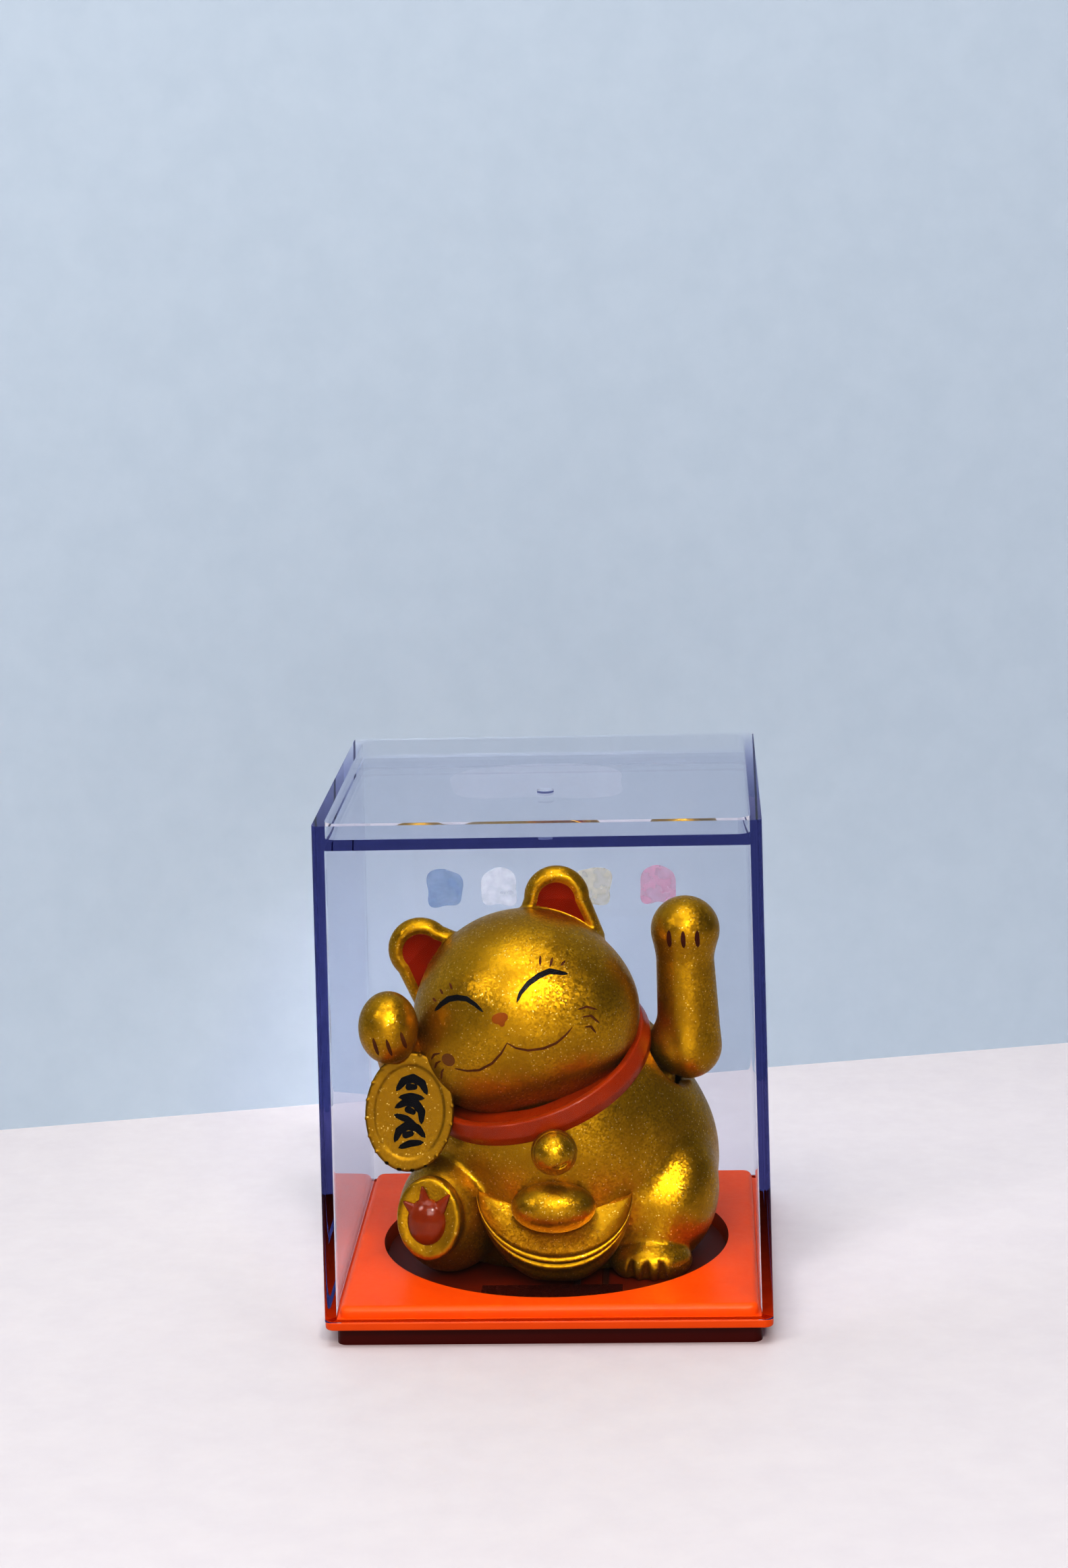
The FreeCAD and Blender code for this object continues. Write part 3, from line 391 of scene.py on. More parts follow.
def gold_paint(name, colour, shade, rough, flake=0.2, glint=(0.85, 0.64, 0.22)):
    """Metallic paint: small flakes that each face their own way, a few of them bright."""
    n = Nodes(name)
    n.set(Metallic=0.92, Specular_IOR_Level=0.2)
    flakes = n.add("ShaderNodeTexVoronoi")
    flakes.inputs["Scale"].default_value = 4200
    n.link(n.place, flakes.inputs["Vector"])
    centred = n.add("ShaderNodeVectorMath", operation="SUBTRACT")
    centred.inputs[1].default_value = (0.5, 0.5, 0.5)
    n.link(flakes.outputs["Color"], centred.inputs[0])
    scaled = n.add("ShaderNodeVectorMath", operation="SCALE")
    scaled.inputs["Scale"].default_value = flake
    n.link(centred.outputs[0], scaled.inputs[0])
    normal = n.add("ShaderNodeNewGeometry").outputs["Normal"]
    summed = n.add("ShaderNodeVectorMath", operation="ADD")
    n.link(normal, summed.inputs[0])
    n.link(scaled.outputs[0], summed.inputs[1])
    even = n.add("ShaderNodeVectorMath", operation="NORMALIZE")
    n.link(summed.outputs[0], even.inputs[0])
    n.link(even.outputs[0], n.shader.inputs["Normal"])
    slow = n.blend(n.spread(n.noise(180, 4), 0, 1), colour, shade)
    split = n.add("ShaderNodeSeparateColor")
    n.link(flakes.outputs["Color"], split.inputs[0])
    core = n.spread(flakes.outputs["Distance"], 1, 0, 0.15, 0.5)
    chosen = n.spread(split.outputs[1], 0, 1, 0.9, 0.95)
    lit = n.add("ShaderNodeMath", operation="MULTIPLY")
    n.link(core, lit.inputs[0])
    n.link(chosen, lit.inputs[1])
    uneven = n.blend(n.spread(split.outputs[0], 0, 1, 0.0, 1.0), slow, tuple(c * 0.85 for c in shade))
    n.link(n.blend(lit.outputs[0], uneven, glint), n.shader.inputs["Base Color"])
    n.link(n.spread(n.noise(900), rough * 0.9, rough * 1.1), n.shader.inputs["Roughness"])
    return n.material


# Heights of the tray's painted foot shade: where it stops, and how soft its upper edge is.
FOOT_TOP, FOOT_EDGE = 0.0025, 0.0001


def tray_plastic(name, colour, shade, painted_foot_shade, rough):
    """Moulded plastic whose inset foot is painted darker than the rest: painted shade for the shadow that
    the flange casts on the foot.
    """
    n = Nodes(name)
    n.set(Specular_IOR_Level=0.22)
    height = n.add("ShaderNodeSeparateXYZ")
    n.link(n.place, height.inputs[0])
    upper = n.blend(n.spread(n.noise(140), 0, 1), colour, shade)
    # Painted shade: below the foot's top the colour turns to the dark foot shade.
    above_foot = n.spread(height.outputs["Z"], 0, 1, FOOT_TOP - FOOT_EDGE, FOOT_TOP + FOOT_EDGE)
    n.link(n.blend(above_foot, painted_foot_shade, upper), n.shader.inputs["Base Color"])
    n.link(n.spread(n.noise(2500), rough * 0.85, rough * 1.15), n.shader.inputs["Roughness"])
    n.link(n.bump(n.noise(3200, 2), GRAIN_DEPTH, 0.6), n.shader.inputs["Normal"])
    return n.material


def clear_plastic(name, tint, density):
    """Clear moulded plastic. Lamps shine through it; long paths inside it turn navy."""
    n = Nodes(name)
    n.set(Base_Color=(0.95, 0.955, 0.965, 1), Transmission_Weight=1.0, Roughness=0.0, IOR=1.13)
    through = n.add("ShaderNodeBsdfTransparent")
    mix = n.add("ShaderNodeMixShader")
    n.link(n.add("ShaderNodeLightPath").outputs["Is Shadow Ray"], mix.inputs["Fac"])
    n.link(n.shader.outputs["BSDF"], mix.inputs[1])
    n.link(through.outputs["BSDF"], mix.inputs[2])
    n.link(mix.outputs["Shader"], n.output.inputs["Surface"])
    absorb = n.add("ShaderNodeVolumeAbsorption")
    absorb.inputs["Color"].default_value = (*tint, 1)
    absorb.inputs["Density"].default_value = density
    n.link(absorb.outputs["Volume"], n.output.inputs["Volume"])
    n.link(n.bump(n.noise(60, 2), 0.00002, 0.15), n.shader.inputs["Normal"])
    return n.material


def film(name, colour, alpha):
    """Clear printed film: mostly see-through, with a little print on it."""
    n = Nodes(name)
    n.set(Base_Color=(*colour, 1), Roughness=0.35)
    n.link(n.spread(n.noise(500), alpha * 0.7, alpha * 1.2), n.shader.inputs["Alpha"])
    return n.material


GOLD = gold_paint("gold_paint", (0.55, 0.31, 0.01), (0.39, 0.21, 0.006), 0.34, 0.17)
COIN = gold_paint("coin_gold", (0.27, 0.148, 0.008), (0.22, 0.118, 0.006), 0.42, 0.08, (0.6, 0.45, 0.15))
COLLAR_RED = moulded("collar_red", (0.25, 0.029, 0.0006), (0.21, 0.023, 0.0005), 0.32, coat=0.35,
                     Specular_IOR_Level=0.15)
EAR_RED = moulded("ear_red", (0.18, 0.012, 0.0005), (0.14, 0.009, 0.0004), 0.5, grain=4000,
                  Specular_IOR_Level=0.1)
PAD_RED = moulded("pad_red", (0.17, 0.023, 0.0006), (0.14, 0.018, 0.0005), 0.25, coat=0.6, coat_rough=0.08,
                  Specular_IOR_Level=0.15)
NOSE_PAINT = moulded("nose_paint", (0.22, 0.06, 0.003), (0.18, 0.048, 0.002), 0.45, Specular_IOR_Level=0.12)
BLACK_PAINT = moulded("black_paint", (0.004, 0.004, 0.005), (0.003, 0.003, 0.004), 0.4,
                      Specular_IOR_Level=0.12)
LINE_PAINT = moulded("brown_line", (0.09, 0.024, 0.003), (0.07, 0.018, 0.002), 0.5, Specular_IOR_Level=0.15)
BLUSH_PAINT = moulded("brown_blush", (0.13, 0.045, 0.005), (0.1, 0.036, 0.004), 0.5, Specular_IOR_Level=0.2)
CLAW_PAINT = moulded("claw_paint", (0.06, 0.01, 0.003), (0.045, 0.008, 0.002), 0.45, Specular_IOR_Level=0.15)
# The third colour is painted shade on the tray's inset foot, standing for the flange's shadow.
ORANGE = tray_plastic("orange_plastic", (0.67, 0.08, 0.001), (0.63, 0.073, 0.001),
                      (0.07, 0.003, 0.0005), 0.34)
DARK = moulded("dark_plastic", (0.1, 0.01, 0.001), (0.08, 0.008, 0.001), 0.4, Specular_IOR_Level=0.08)
CELL = moulded("cell_glass", (0.04, 0.005, 0.002), (0.03, 0.004, 0.002), 0.25, Specular_IOR_Level=0.1)
STRIP = moulded("dark_enamel", (0.04, 0.006, 0.002), (0.03, 0.005, 0.002), 0.4)
GREY = moulded("grey_plastic", (0.5, 0.51, 0.52), (0.44, 0.45, 0.46), 0.5)
STEEL = moulded("steel", (0.58, 0.58, 0.6), (0.5, 0.5, 0.52), 0.28, metallic=1.0)
BRASS = moulded("brass_bush", (0.7, 0.5, 0.2), (0.6, 0.42, 0.16), 0.3, metallic=1.0)
BOARD = moulded("board_green", (0.02, 0.16, 0.05), (0.015, 0.13, 0.04), 0.45)
CHIP = moulded("chip_black", (0.02, 0.02, 0.022), (0.015, 0.015, 0.016), 0.5)
COPPER = moulded("copper", (0.75, 0.3, 0.15), (0.62, 0.24, 0.11), 0.32, metallic=1.0)
CAN = moulded("can_grey", (0.62, 0.64, 0.66), (0.54, 0.56, 0.58), 0.3, metallic=1.0)
CLEAR = clear_plastic("clear_plastic", (0.08, 0.1, 0.5), 40.0)
LABEL = film("label_film", (0.95, 0.96, 0.98), 0.01)
PRINT_COLOURS = {
    "blue": (0.16, 0.27, 0.44), "white": (0.75, 0.78, 0.8),
    "yellow": (0.62, 0.58, 0.42), "pink": (0.6, 0.3, 0.4),
}
PRINTS = {name: film("print_" + name, colour, 0.42) for name, colour in PRINT_COLOURS.items()}
PRINT_BAND = film("print_band", (0.85, 0.84, 0.88), 0.06)

NODE_MATERIALS = {
    "tray": ORANGE, "case_cover": CLEAR, "rear_label": LABEL, "base_plate": DARK, "base_screws": STEEL,
    "solar_cell": CELL, "cell_strips": STRIP, "swing_frame": GREY, "frame_screws": STEEL,
    "circuit_board": BOARD, "driver_chip": CHIP, "storage_capacitor": CAN, "coil_bobbin": CHIP,
    "coil_winding": COPPER, "collar": COLLAR_RED, "bell": GOLD, "koban": COIN, "ingot": GOLD,
    "body_front_shell": GOLD, "body_rear_shell": GOLD, "head_front_shell": GOLD, "head_rear_shell": GOLD,
    "arm_front_half": GOLD, "arm_rear_half": GOLD, "arm_axle": STEEL, "axle_bushes": BRASS,
    "pendulum_lever": GREY, "swing_magnet": STEEL, "counterweight": STEEL,
}
for node, node_material in NODE_MATERIALS.items():
    node_mesh = frame["nodes"][node].data
    node_mesh.materials.clear()
    node_mesh.materials.append(node_material)


# ---- Head ------------------------------------------------------------------------------------------

HEAD_CENTRE = (-3.9, -3.0, 40.5)
HEAD_TURN = turn(y=-18)
EARS = {"right": ((9.0, 4.2, 11.2), 18), "left": ((-10.6, 4.2, 10.4), -27)}
EAR_FLAT = 0.52


def head_local(points):
    return local(points, HEAD_CENTRE, HEAD_TURN)


def ear_local(points, ear):
    """Points in one ear's own frame: x across, z to the tip, y scaled up so that the ear is flat."""
    place, lean = EARS[ear]
    return local(head_local(points), place, turn(y=lean)) / np.array((1, EAR_FLAT, 1))


def ear_shape(q, rim, front):
    """The ear's rounded triangle, drawn in by rim and moved forward by front."""
    return limb(q, (0, -front, -3.5), (0, -front, 2.1), 6.8 - rim, 4.7 - rim)


def skull_field(points):
    q = head_local(points)
    skull = egg(q, (0, 0, 0), (15.5, 14, 14.6))
    for side in (-1, 1):
        skull = join(skull, ball(q, (side * 6.9, -2.0, -2.3), 9), 4)
    return skull


def head_field(points):
    whole = skull_field(points)
    for ear in EARS:
        e = ear_local(points, ear)
        shell = carve(ear_shape(e, 0, 0), ear_shape(e, 0.5, 5.7), 0.7)
        whole = join(whole, shell * 0.7, 0.5)
    return whole


head_points, head_quads = modelled(head_field, (-27, -20, 22), (14.5, 13.5, 63), 0.36)
add_mesh("head", head_points, head_quads, GOLD,
         replaced=("head_front_shell", "head_rear_shell"))
HEAD = (head_field, head_points, head_quads)


def face_plane(points):
    """Face features are drawn in the head's x and z, on its front only."""
    q = head_local(points)
    flat = q.copy()
    flat[:, 1] = 0
    return flat, q[:, 1]


def on_face(shape):
    def region(points):
        flat, depth = face_plane(points)
        return np.maximum(shape(flat), depth + 2)
    return region


def stroke(corners, radius):
    path = [(x, 0, z) for x, z in corners]
    return lambda flat: chain(flat, path, radius)


def spot(x, z, rx, rz):
    return lambda flat: egg(flat, (x, 0, z), (rx, 1, rz))


EYES = {
    "left": [(-10.5, 6.1), (-9.3, 6.8), (-8.0, 7.3), (-6.6, 7.3), (-5.3, 6.9), (-4.3, 5.9), (-3.6, 4.8)],
    "right": [(1.5, 4.7), (2.3, 5.6), (3.7, 6.4), (5.4, 6.8), (6.9, 6.8), (7.8, 6.3), (9.1, 5.5)],
}
MOUTH = [(-10.3, -2.1), (-8.7, -2.8), (-6.9, -3.1), (-4.8, -2.6), (-3.0, -1.5), (-1.7, -0.3)]
MOUTH_RIGHT = [(-1.7, -0.3), (-0.8, -1.4), (0.7, -2.3), (2.8, -2.8), (4.7, -2.7), (6.3, -2.1), (7.5, -1.4)]
LASHES = [
    [(6.3, 9.0), (5.9, 7.9)], [(7.8, 8.2), (7.2, 7.3)], [(9.3, 7.1), (8.6, 6.8)],
    [(-7.2, 9.2), (-7.1, 8.4)], [(-8.9, 8.6), (-8.7, 8.0)], [(-10.4, 7.6), (-10.0, 7.2)],
]
WHISKERS = [
    [(9.0, 0.6), (10.3, 0.4), (11.4, -0.6)], [(9.2, -0.6), (10.4, -1.0), (11.1, -2.5)],
    [(9.1, -2.1), (9.9, -2.4), (10.2, -3.6)],
    [(-13.4, -0.4), (-12.7, 0.3), (-11.7, 0.4)], [(-13.4, -1.8), (-12.8, -1.0), (-12.0, -0.7)],
    [(-13.0, -3.5), (-12.5, -2.4), (-12.0, -1.9)],
]
for side, corners in EYES.items():
    painted("eye_%s" % side, HEAD, on_face(stroke(corners, 0.37)), BLACK_PAINT, 3)
painted("mouth_left", HEAD, on_face(stroke(MOUTH, 0.18)), LINE_PAINT, 3)
painted("mouth_right", HEAD, on_face(stroke(MOUTH_RIGHT, 0.18)), LINE_PAINT, 3)
for index, corners in enumerate(LASHES):
    painted("lash_%d" % index, HEAD, on_face(stroke(corners, 0.17)), LINE_PAINT, 3)
for index, corners in enumerate(WHISKERS):
    painted("whisker_%d" % index, HEAD, on_face(stroke(corners, 0.15)), LINE_PAINT, 3)
painted("cheek_spot", HEAD, on_face(spot(-10.8, -0.7, 0.95, 0.95)), BLUSH_PAINT, 2)


def nose_shape(flat):
    top = limb(flat, (-2.1, 0, 3.3), (-0.9, 0, 3.3), 0.6, 0.55)
    return join(top, limb(flat, (-1.5, 0, 3.2), (-1.5, 0, 2.5), 0.8, 0.4), 0.4)


painted("nose", HEAD, on_face(nose_shape), NOSE_PAINT, 2)

for ear in EARS:
    def ear_red(points, ear=ear):
        e = ear_local(points, ear)
        flat = e.copy()
        flat[:, 1] = 0
        outline = limb(flat, (0, 0, -3.5), (0, 0, 1.9), 5.0, 2.7)
        return np.maximum(np.maximum(outline, e[:, 1] + 0.5), 0.3 - skull_field(points))
    painted("ear_%s_inner" % ear, HEAD, ear_red, EAR_RED, 2)


# ---- Swinging arm ----------------------------------------------------------------------------------

ARM_Y, PIVOT_Z = 0.5, 27.0
SWING = 0.2618
HUB_X, HUB_RADIUS, HUB_HALF, SHANK_RADIUS = 16.2, 2.2, 1.4, 1.5


def arm_field(points):
    paw = egg(points, (19.6, ARM_Y, 51.2), (4.95, 4.8, 4.9))
    forearm = limb(points, (19.5, ARM_Y, 47.5), (20.0, ARM_Y, 33.9), 4.15, 4.6)
    upper = limb(points, (19.0, ARM_Y, 34.2), (17.8, ARM_Y, 34.0), 4.5, 3.9)
    arm = join(join(paw, forearm, 1.2), upper, 1.6)
    cut_normal = unit(np.array((0.58, 0.0, 1.0)))
    under = (points - np.array((17.3, ARM_Y, 30.1))) @ cut_normal
    arm = carve(arm, under, 0.5)
    shank = limb(points, (HUB_X, ARM_Y, 33), (HUB_X, ARM_Y, PIVOT_Z + 0.6), SHANK_RADIUS, SHANK_RADIUS)
    hub = np.maximum(np.hypot(points[:, 1] - ARM_Y, points[:, 2] - PIVOT_Z) - HUB_RADIUS,
                     np.abs(points[:, 0] - HUB_X) - HUB_HALF)
    return np.minimum(arm, join(shank, hub, 0.6))


arm_points, arm_quads = modelled(arm_field, (12, -5.5, 24), (25.5, 6.5, 57.5), 0.36)
add_mesh("arm", arm_points, arm_quads, GOLD, "arm", ("arm_front_half", "arm_rear_half"))
ARM = (arm_field, arm_points, arm_quads)
for index, x in enumerate((17.3, 19.3, 21.3)):
    def claw(points, x=x):
        flat = points.copy()
        flat[:, 1] = 0
        path = [(x, 0, 52.1), (x, 0, 50.9), (x + 0.1, 0, 49.7)]
        return np.maximum(chain(flat, path, 0.34), points[:, 1] + 1)
    painted("arm_claw_%d" % index, ARM, claw, CLAW_PAINT, 3, body="arm")


# ---- Body ------------------------------------------------------------------------------------------

NECK_CENTRE = (-2.75, -0.5, 32.83)
NECK_TURN = turn(y=-16.5) @ turn(x=20)
BASE_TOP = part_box("base_plate")[1].z / MM
LEG_CENTRE, LEG_TURN = (-14.5, -8.0, 12.2), turn(z=-15)
SOLE_CENTRE, SOLE_TURN = (-17.0, -17.2, 14.2), turn(x=-8, z=-10)
WALL = 1.3


def sole_local(points):
    return local(points, SOLE_CENTRE, SOLE_TURN)


def swept_arm(points):
    """The room that the arm takes over its whole swing."""
    best = None
    for angle in np.linspace(math.degrees(-SWING), math.degrees(SWING), 7):
        q = local(points, (0, ARM_Y, PIVOT_Z), turn(x=float(angle))) + np.array((0, ARM_Y, PIVOT_Z))
        room = arm_field(q)
        best = room if best is None else np.minimum(best, room)
    return best


def trunk_field(points):
    trunk = egg(points, (1.6, 2, 17), (22.4, 16.5, 20.5))
    return join(trunk, ball(points, (-0.35, 2.6, 24.7), 18.5), 4)


def body_field(points):
    neck = local(points, NECK_CENTRE, NECK_TURN)[:, 2] + 1.35
    body = carve(trunk_field(points), -neck, 0.5)
    thigh = egg(points, (17.6, -4.4, 13), (6.2, 7.6, 9.2), turn(y=10))
    shin = limb(points, (15.6, -7.5, 12), (14.6, -9, 7.5), 5.4, 4.6)
    body = join(join(body, thigh, 1.6), shin, 3.0)
    foot = egg(points, (14, -11.2, 5.6), (5.9, 4.7, 3.5))
    for x, low, high in ((11.2, -14.4, -15.1), (13.3, -15.1, -15.7), (15.6, -15.0, -15.5)):
        foot = carve(foot, limb(points, (x, low, 3.2), (x, high, 6.6), 0.85, 0.3), 0.2)
    body = join(body, foot, 0.5)
    leg = egg(points, LEG_CENTRE, (7.5, 10.3, 8.7), LEG_TURN)
    body = join(body, leg, 1.0)
    s = sole_local(points)
    disc = (np.hypot(s[:, 0] / 4.7, s[:, 2] / 6.0) - 1) * 5.0
    sole = -join(-disc, -(np.abs(s[:, 1]) - 1.3), 0.8)
    sole = carve(sole, egg(s, (0, -1.6, 0), (3.8, 0.8, 5.1)), 0.4)
    body = join(body, sole, 0.5)
    forearm = limb(points, (-22.0, -9.0, 38), (-17.5, -2.5, 24), 3.2, 5.2)
    paw = egg(points, (-22.5, -12, 40.7), (4.25, 4.4, 5.2))
    body = join(body, join(forearm, paw, 1.0), 1.5)
    floor = BASE_TOP - points[:, 2]
    return np.maximum(body, floor)


def body_shell(points):
    inner = trunk_field(points) + WALL
    neck = local(points, NECK_CENTRE, NECK_TURN)[:, 2]
    hollow = np.maximum(inner, neck + 2.2)
    return carve(carve(body_field(points), hollow, 0.3), swept_arm(points) - 0.45, 0.3)


body_points, body_quads = modelled(body_shell, (-29, -21.5, 3), (25.5, 20, 46), 0.42)
body_points[:, 2] = np.maximum(body_points[:, 2], BASE_TOP)
add_mesh("body", body_points, body_quads, GOLD,
         replaced=("body_front_shell", "body_rear_shell"))
BODY = (body_shell, body_points, body_quads)

for index, (x, low) in enumerate(((-24.0, 37.7), (-22.1, 37.6), (-20.1, 38.5))):
    def paw_claw(points, x=x, low=low):
        flat = points.copy()
        flat[:, 1] = 0
        path = [(x - 0.3, 0, low + 2.6), (x, 0, low + 1.3), (x + 0.3, 0, low)]
        return np.maximum(chain(flat, path, 0.26), points[:, 1] + 12)
    painted("paw_claw_%d" % index, BODY, paw_claw, LINE_PAINT, 3)


def pad_field(points):
    s = sole_local(points)
    pad = egg(s, (-0.3, -0.8, -0.4), (2.8, 1.7, 3.4))
    for tip, root in (((-3.5, 2.4), (-2.0, 1.2)), ((-0.8, 4.6), (-0.5, 2.2)), ((3.1, 3.7), (1.6, 1.7))):
        t = s / np.array((1, 0.5, 1))
        toe = limb(t, (root[0], -2.3, root[1]), (tip[0], -2.9, tip[1]), 1.0, 0.2)
        pad = join(pad, toe * 0.7, 0.08)
    return pad


pad_points, pad_quads = modelled(pad_field, (-22.5, -20.5, 8), (-11.5, -14, 21), 0.18)
add_mesh("paw_pad", pad_points, pad_quads, PAD_RED)


# ---- Collar, bell, coin and ingot ------------------------------------------------------------------

def to_row(points, centre, basis):
    return np.array(points, float) @ basis.T + np.array(centre, float)


def swept_ring(profile, steps):
    """A profile of (radius, height) turned about the local z axis."""
    points, count = [], len(profile)
    for k in range(steps):
        a = 2 * math.pi * k / steps
        points += [(r * math.cos(a), r * math.sin(a), z) for r, z in profile]
    faces = []
    for k in range(steps):
        for i in range(count):
            a, b = k * count + i, k * count + (i + 1) % count
            c, d = ((k + 1) % steps) * count + (i + 1) % count, ((k + 1) % steps) * count + i
            faces.append((a, d, c, b))
    return np.array(points), faces


def rounded_profile(corners, radius, steps=5):
    """Corners of a closed outline, each turned into a short arc."""
    made, count = [], len(corners)
    for i in range(count):
        p = Vector((*corners[i], 0))
        a = (Vector((*corners[i - 1], 0)) - p).normalized()
        b = (Vector((*corners[(i + 1) % count], 0)) - p).normalized()
        for k in range(steps + 1):
            t = k / steps
            q = p + a * radius * (1 - t) ** 2 + b * radius * t ** 2
            made.append((q.x, q.y))
    return made


COLLAR = rounded_profile([(11.5, -1.5), (17.35, -2.05), (17.6, -0.6), (17.05, 1.5), (16.0, 1.4),
                          (14.6, -0.4), (11.5, -0.4)], 0.35)
collar_points, collar_faces = swept_ring(COLLAR[::-1], 144)
add_mesh("collar_band", to_row(collar_points, NECK_CENTRE, NECK_TURN), collar_faces, COLLAR_RED,
         replaced=("collar",))

BELL_CENTRE, BELL_RADIUS, BELL_TURN = (0.8, -18.1, 24.0), 3.25, turn(x=-10, z=6)


def bell_field(points):
    """A plain ball with a seam ring and a slot near its lower right."""
    q = local(points, BELL_CENTRE, BELL_TURN)
    whole = np.linalg.norm(q, axis=-1) - BELL_RADIUS
    seam = np.hypot(np.hypot(q[:, 0], q[:, 2]) - 3.05, q[:, 1] + 1.2) - 0.14
    slot = chain(q, [(-0.5, -2.5, -1.6), (0.6, -2.45, -1.7), (1.6, -2.4, -1.2)], 0.3)
    return carve(carve(whole, seam, 0.12), slot, 0.12)


bell_points, bell_quads = modelled(bell_field, (-3, -22.0, 20.0), (4.8, -14.0, 28.0), 0.17)
add_mesh("bell_ball", bell_points, bell_quads, GOLD, replaced=("bell",))

KOBAN_CENTRE, KOBAN_TURN = (-19.9, -11.8, 28.2), turn(x=-8, y=5)
KOBAN_ACROSS, KOBAN_HIGH, KOBAN_HALF = 6.3, 8.6, 0.65
BEADS, BEAD_INSET = 20, 0.15


def koban_local(points):
    return local(points, KOBAN_CENTRE, KOBAN_TURN)


def koban_field(points):
    q = koban_local(points)
    oval = (np.hypot(q[:, 0] / KOBAN_ACROSS, q[:, 2] / KOBAN_HIGH) - 1) * 6.9
    plate = -join(-oval, -(np.abs(q[:, 1]) - KOBAN_HALF), 0.35)
    dish = -join(-(oval + 1.5), -(np.abs(q[:, 1] + 1.0) - 0.5), 0.25)
    plate = carve(plate, dish, 0.25)
    for k in range(BEADS):
        a = math.radians(360 / BEADS * (k + 0.5))
        x, z = (KOBAN_ACROSS - BEAD_INSET) * math.cos(a), (KOBAN_HIGH - BEAD_INSET) * math.sin(a)
        plate = join(plate, limb(q, (x, -0.6, z), (x, 0.5, z), 0.24, 0.16), 0.12)
    return plate


koban_points, koban_quads = modelled(koban_field, (-28, -13.6, 18.8), (-12, -10, 37.8), 0.2)
add_mesh("koban_plate", koban_points, koban_quads, COIN, replaced=("koban",))
KOBAN = (koban_field, koban_points, koban_quads)


def brush_marks(points):
    """Three plain brush marks, each an arch over a dot and a bar, turned a little each time."""
    q = koban_local(points)
    flat = q.copy()
    flat[:, 1] = 0
    best = None
    for z, lean in ((3.5, 0), (0.1, 25), (-3.3, -15)):
        m = flat - np.array((0.1, 0, z))
        m = m @ turn(y=lean)
        arch = chain(m, [(-2.1, 0, -0.5), (-1.2, 0, 0.9), (0.1, 0, 1.4), (1.4, 0, 0.8), (2.2, 0, -0.7)],
                     0.62)
        bar = chain(m, [(-1.7, 0, -1.5), (0.0, 0, -1.2), (1.8, 0, -1.4)], 0.5)
        mark = np.minimum(np.minimum(arch, bar), limb(m, (-0.4, 0, 0.1), (0.4, 0, 0.15), 0.5, 0.4))
        best = mark if best is None else np.minimum(best, mark)
    return np.maximum(best, q[:, 1])


painted("koban_marks", KOBAN, brush_marks, BLACK_PAINT, 2)

INGOT_MID, INGOT_HALF, INGOT_TILT = 0.55, 11.05, 0.036


def ingot_section(c):
    """The ingot's outline in y and z, from rear edge over deck and lip to hull; c is 0 at the tips."""
    rear = (-13.6, 17.1 - 2.0 * c)
    crest = (-14.8 - 4.9 * c, 17.1 - 8.2 * c)
    deck = []
    for k in range(9):
        t = k / 8
        sag = 0.6 * c * math.sin(math.pi * t)
        y = rear[0] + (crest[0] - rear[0]) * t + 0.3 * sag
        deck.append((y, rear[1] + (crest[1] - rear[1]) * t - sag))
    lip = []
    for k in range(7):
        a = math.radians(100 + 40 * k)
        size = 0.25 + 0.3 * c
        lip.append((crest[0] + size * math.cos(a) - 0.2 * c, crest[1] - 0.2 + size * math.sin(a)))
    step = [(crest[0] + 0.7 * c, crest[1] - 1.0 * c), (crest[0] + 0.2 * c, crest[1] - 1.3 * c),
            (crest[0] + 0.3 * c, crest[1] - 1.9 * c), (crest[0] + 1.1 * c, crest[1] - 2.3 * c)]
    start, end = step[-1], (-12.2, max(BASE_TOP, 17.1 - 14.0 * c))
    hull = []
    for k in range(1, 9):
        a = math.pi / 2 * k / 8
        y = end[0] + (start[0] - end[0]) * math.cos(a)
        hull.append((y, start[1] + (end[1] - start[1]) * math.sin(a)))
    return deck + lip + step + hull


def ingot_mesh(stations=72):
    points, faces = [], []
    count = len(ingot_section(1.0))
    for k in range(stations + 1):
        a = math.pi * k / stations
        c = max(0.1, math.sin(a))
        x = INGOT_MID - INGOT_HALF * math.cos(a)
        points += [(x, y, z - INGOT_TILT * (x - INGOT_MID)) for y, z in ingot_section(c)]
    for k in range(stations):
        for i in range(count):
            a, b = k * count + i, k * count + (i + 1) % count
            faces.append((a, b, b + count, a + count))
    faces.append(tuple(range(count))[::-1])
    faces.append(tuple(range(stations * count, (stations + 1) * count)))
    return np.array(points), faces


ingot_points, ingot_faces = ingot_mesh()
add_mesh("ingot_boat", ingot_points, ingot_faces, GOLD, replaced=("ingot",))


def ingot_egg(points):
    return egg(points, (0.4, -16.0, 15.2), (6.0, 3.6, 3.7))


egg_points, egg_quads = modelled(ingot_egg, (-6.5, -21, 9), (7.5, -12, 19), 0.3)
add_mesh("ingot_dome", egg_points, egg_quads, GOLD)


# ---- Plain print on the rear label -------------------------------------------------------------------

WALL_LEAN = 0.8 / 70.2
SHEET_THICK = 0.02


def sheet_on_wall(name, outline, gap, material, replaced=()):
    """A thin sheet with an outline of (x, z), a small gap outside the cover's leaning rear wall."""
    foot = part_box("case_cover")[0].z / MM
    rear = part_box("case_cover")[1].y / MM
    count = len(outline)
    points = [(x, rear - WALL_LEAN * (z - foot) + gap + side, z)
              for side in (0, SHEET_THICK) for x, z in outline]
    faces = [tuple(range(count)), tuple(range(2 * count - 1, count - 1, -1))]
    faces += [(k, k + count, (k + 1) % count + count, (k + 1) % count) for k in range(count)]
    return add_mesh(name, points, faces, material, "cover", replaced=replaced, smooth=False)


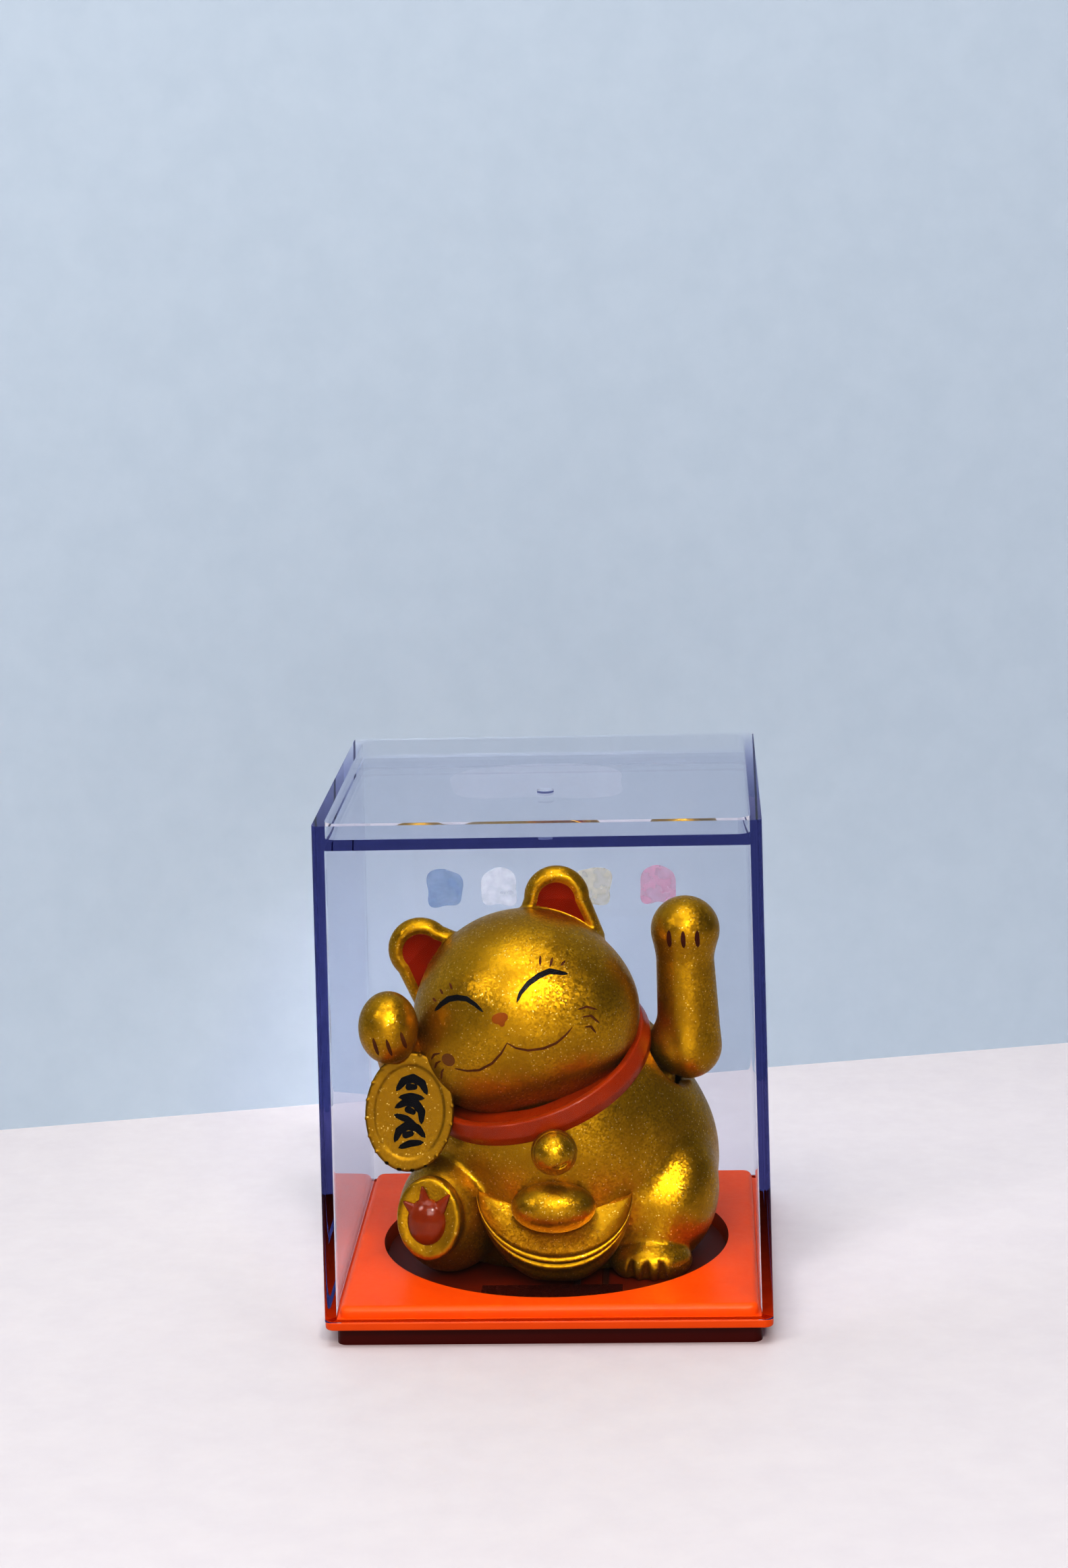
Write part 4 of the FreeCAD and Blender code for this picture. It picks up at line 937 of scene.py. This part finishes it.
def soft_outline(x, z, across, high, wave=0.0, power=4, steps=48):
    """A rounded rectangle whose edge wanders a little."""
    outline = []
    for k in range(steps):
        a = 2 * math.pi * k / steps
        reach = (abs(math.cos(a)) ** power + abs(math.sin(a)) ** power) ** (-1 / power)
        reach *= 1 + wave * (math.sin(3 * a + x) + 0.7 * math.sin(5 * a))
        outline.append((x + across * reach * math.cos(a), z + high * reach * math.sin(a)))
    return outline


label_low, label_high = [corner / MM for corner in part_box("rear_label")]
label_half = (label_high - label_low) / 2
label_outline = soft_outline(0, label_low.z + label_half.z, label_half.x, label_half.z - 0.1, 0, 16, 96)
sheet_on_wall("label_sheet", label_outline, 0.04, LABEL, ("rear_label",))
for colour, x in (("blue", -17.3), ("white", -8.9), ("yellow", 5.6), ("pink", 15.4)):
    sheet_on_wall("label_dot_" + colour, soft_outline(x, 50.5, 2.7, 2.9, 0.06), 0.08, PRINTS[colour])
sheet_on_wall("label_band", soft_outline(-2.5, 66, 13, 2.6, 0.05), 0.08, PRINT_BAND)


# ---- Stage, light and camera -----------------------------------------------------------------------

def stage_plane(name, corners, material):
    mesh = bpy.data.meshes.new(name)
    mesh.from_pydata(corners, [], [tuple(range(len(corners)))])
    mesh.materials.append(material)
    piece = bpy.data.objects.new(name, mesh)
    bpy.context.scene.collection.objects.link(piece)
    return piece


FLOOR = moulded("floor", (0.665, 0.62, 0.61), (0.645, 0.6, 0.595), 0.6, grain=400)
BACKDROP = moulded("backdrop", (0.45, 0.525, 0.59), (0.465, 0.54, 0.605), 0.8, grain=300)


def one_sided(material):
    """Clear from behind, so that the figure's back can be looked at."""
    tree = material.node_tree
    mix = tree.nodes.new("ShaderNodeMixShader")
    tree.links.new(tree.nodes.new("ShaderNodeNewGeometry").outputs["Backfacing"], mix.inputs["Fac"])
    tree.links.new(tree.nodes["Principled BSDF"].outputs["BSDF"], mix.inputs[1])
    tree.links.new(tree.nodes.new("ShaderNodeBsdfTransparent").outputs["BSDF"], mix.inputs[2])
    tree.links.new(mix.outputs["Shader"], tree.nodes["Material Output"].inputs["Surface"])


one_sided(BACKDROP)
wall_start, wall_end = Vector((-0.097, 0.069, 0)), Vector((0.087, 0.113, 0))
along = (wall_end - wall_start).normalized()
left, right = wall_start - along * 3, wall_end + along * 3
stage_plane("floor", [(-4, -4, 0), (4, -4, 0), (4, 4, 0), (-4, 4, 0)], FLOOR)
stage_plane("backdrop", [tuple(left), tuple(right), (right.x, right.y, 3), (left.x, left.y, 3)], BACKDROP)


def area_light(name, place, aim, size, power, colour=(1, 1, 1)):
    data = bpy.data.lights.new(name, "AREA")
    data.shape = "RECTANGLE"
    data.size, data.size_y = size
    data.energy = power
    data.color = colour
    lamp = bpy.data.objects.new(name, data)
    lamp.location = place
    lamp.rotation_euler = (Vector(aim) - Vector(place)).to_track_quat("-Z", "Y").to_euler()
    bpy.context.scene.collection.objects.link(lamp)
    return lamp


MIDDLE = (0, 0, 0.035)
area_light("key", (0.24, -0.72, 0.62), MIDDLE, (0.09, 0.09), 2.0, (1.0, 0.96, 0.9))
area_light("front_fill", (0.02, -0.9, 0.55), MIDDLE, (0.5, 0.4), 2.5, (1.0, 0.97, 0.93))
# The low lamp lights the gold pieces only, and the left one lights everything else.
low_fill = area_light("low_fill", (0.06, -0.85, 0.1), MIDDLE, (0.6, 0.25), 2.2, (1.0, 0.97, 0.92))
left_wash = area_light("left_wash", (-0.5, -0.45, 0.5), MIDDLE, (0.2, 0.2), 1.0, (1.0, 0.97, 0.94))
figure_only = bpy.data.collections.new("figure_only")
rest_only = bpy.data.collections.new("rest_only")
for piece in bpy.data.objects:
    if piece.type == "MESH":
        gilded = any(slot.material in (GOLD, COIN) for slot in piece.material_slots)
        (figure_only if gilded else rest_only).objects.link(piece)
low_fill.light_linking.receiver_collection = figure_only
left_wash.light_linking.receiver_collection = rest_only
area_light("overhead", (0.05, -0.15, 0.75), MIDDLE, (0.4, 0.4), 0.9, (1.0, 0.98, 0.96))
area_light("wall_wash", (-0.2, -0.35, 0.95), (0.0, 0.2, 0.25), (0.6, 0.4), 2.1, (0.95, 0.97, 1.0))

world = bpy.data.worlds.new("studio")
world.use_nodes = True
world.node_tree.nodes["Background"].inputs["Color"].default_value = (0.33, 0.42, 0.9, 1)
world.node_tree.nodes["Background"].inputs["Strength"].default_value = 0.14
bpy.context.scene.world = world

# Reflections inside the cover's walls count as glossy bounces; the usual few would leave its edges black.
cycles = bpy.context.scene.cycles
cycles.max_bounces = cycles.transmission_bounces = cycles.glossy_bounces = 24
bpy.context.scene.view_settings.view_transform = "Standard"
bpy.context.scene.view_settings.look = "High Contrast"

yaw, pitch, roll = [math.radians(a) for a in (2.92, 11.945, -1.515)]
forward = Vector((-math.sin(yaw) * math.cos(pitch), math.cos(yaw) * math.cos(pitch), -math.sin(pitch)))
level = Vector((math.cos(yaw), math.sin(yaw), 0))
upright = level.cross(forward)
camera_right = level * math.cos(roll) + upright * math.sin(roll)
camera_up = upright * math.cos(roll) - level * math.sin(roll)
camera_data = bpy.data.cameras.new("camera")
camera_data.lens = 75.54
camera_data.sensor_width = 36
camera_data.clip_start = 0.01
camera = bpy.data.objects.new("camera", camera_data)
camera.matrix_world = Matrix.Translation((0.021805, -0.458619, 0.170125)) @ Matrix(
    (camera_right, camera_up, -forward)).transposed().to_4x4()
bpy.context.scene.collection.objects.link(camera)
bpy.context.scene.camera = camera
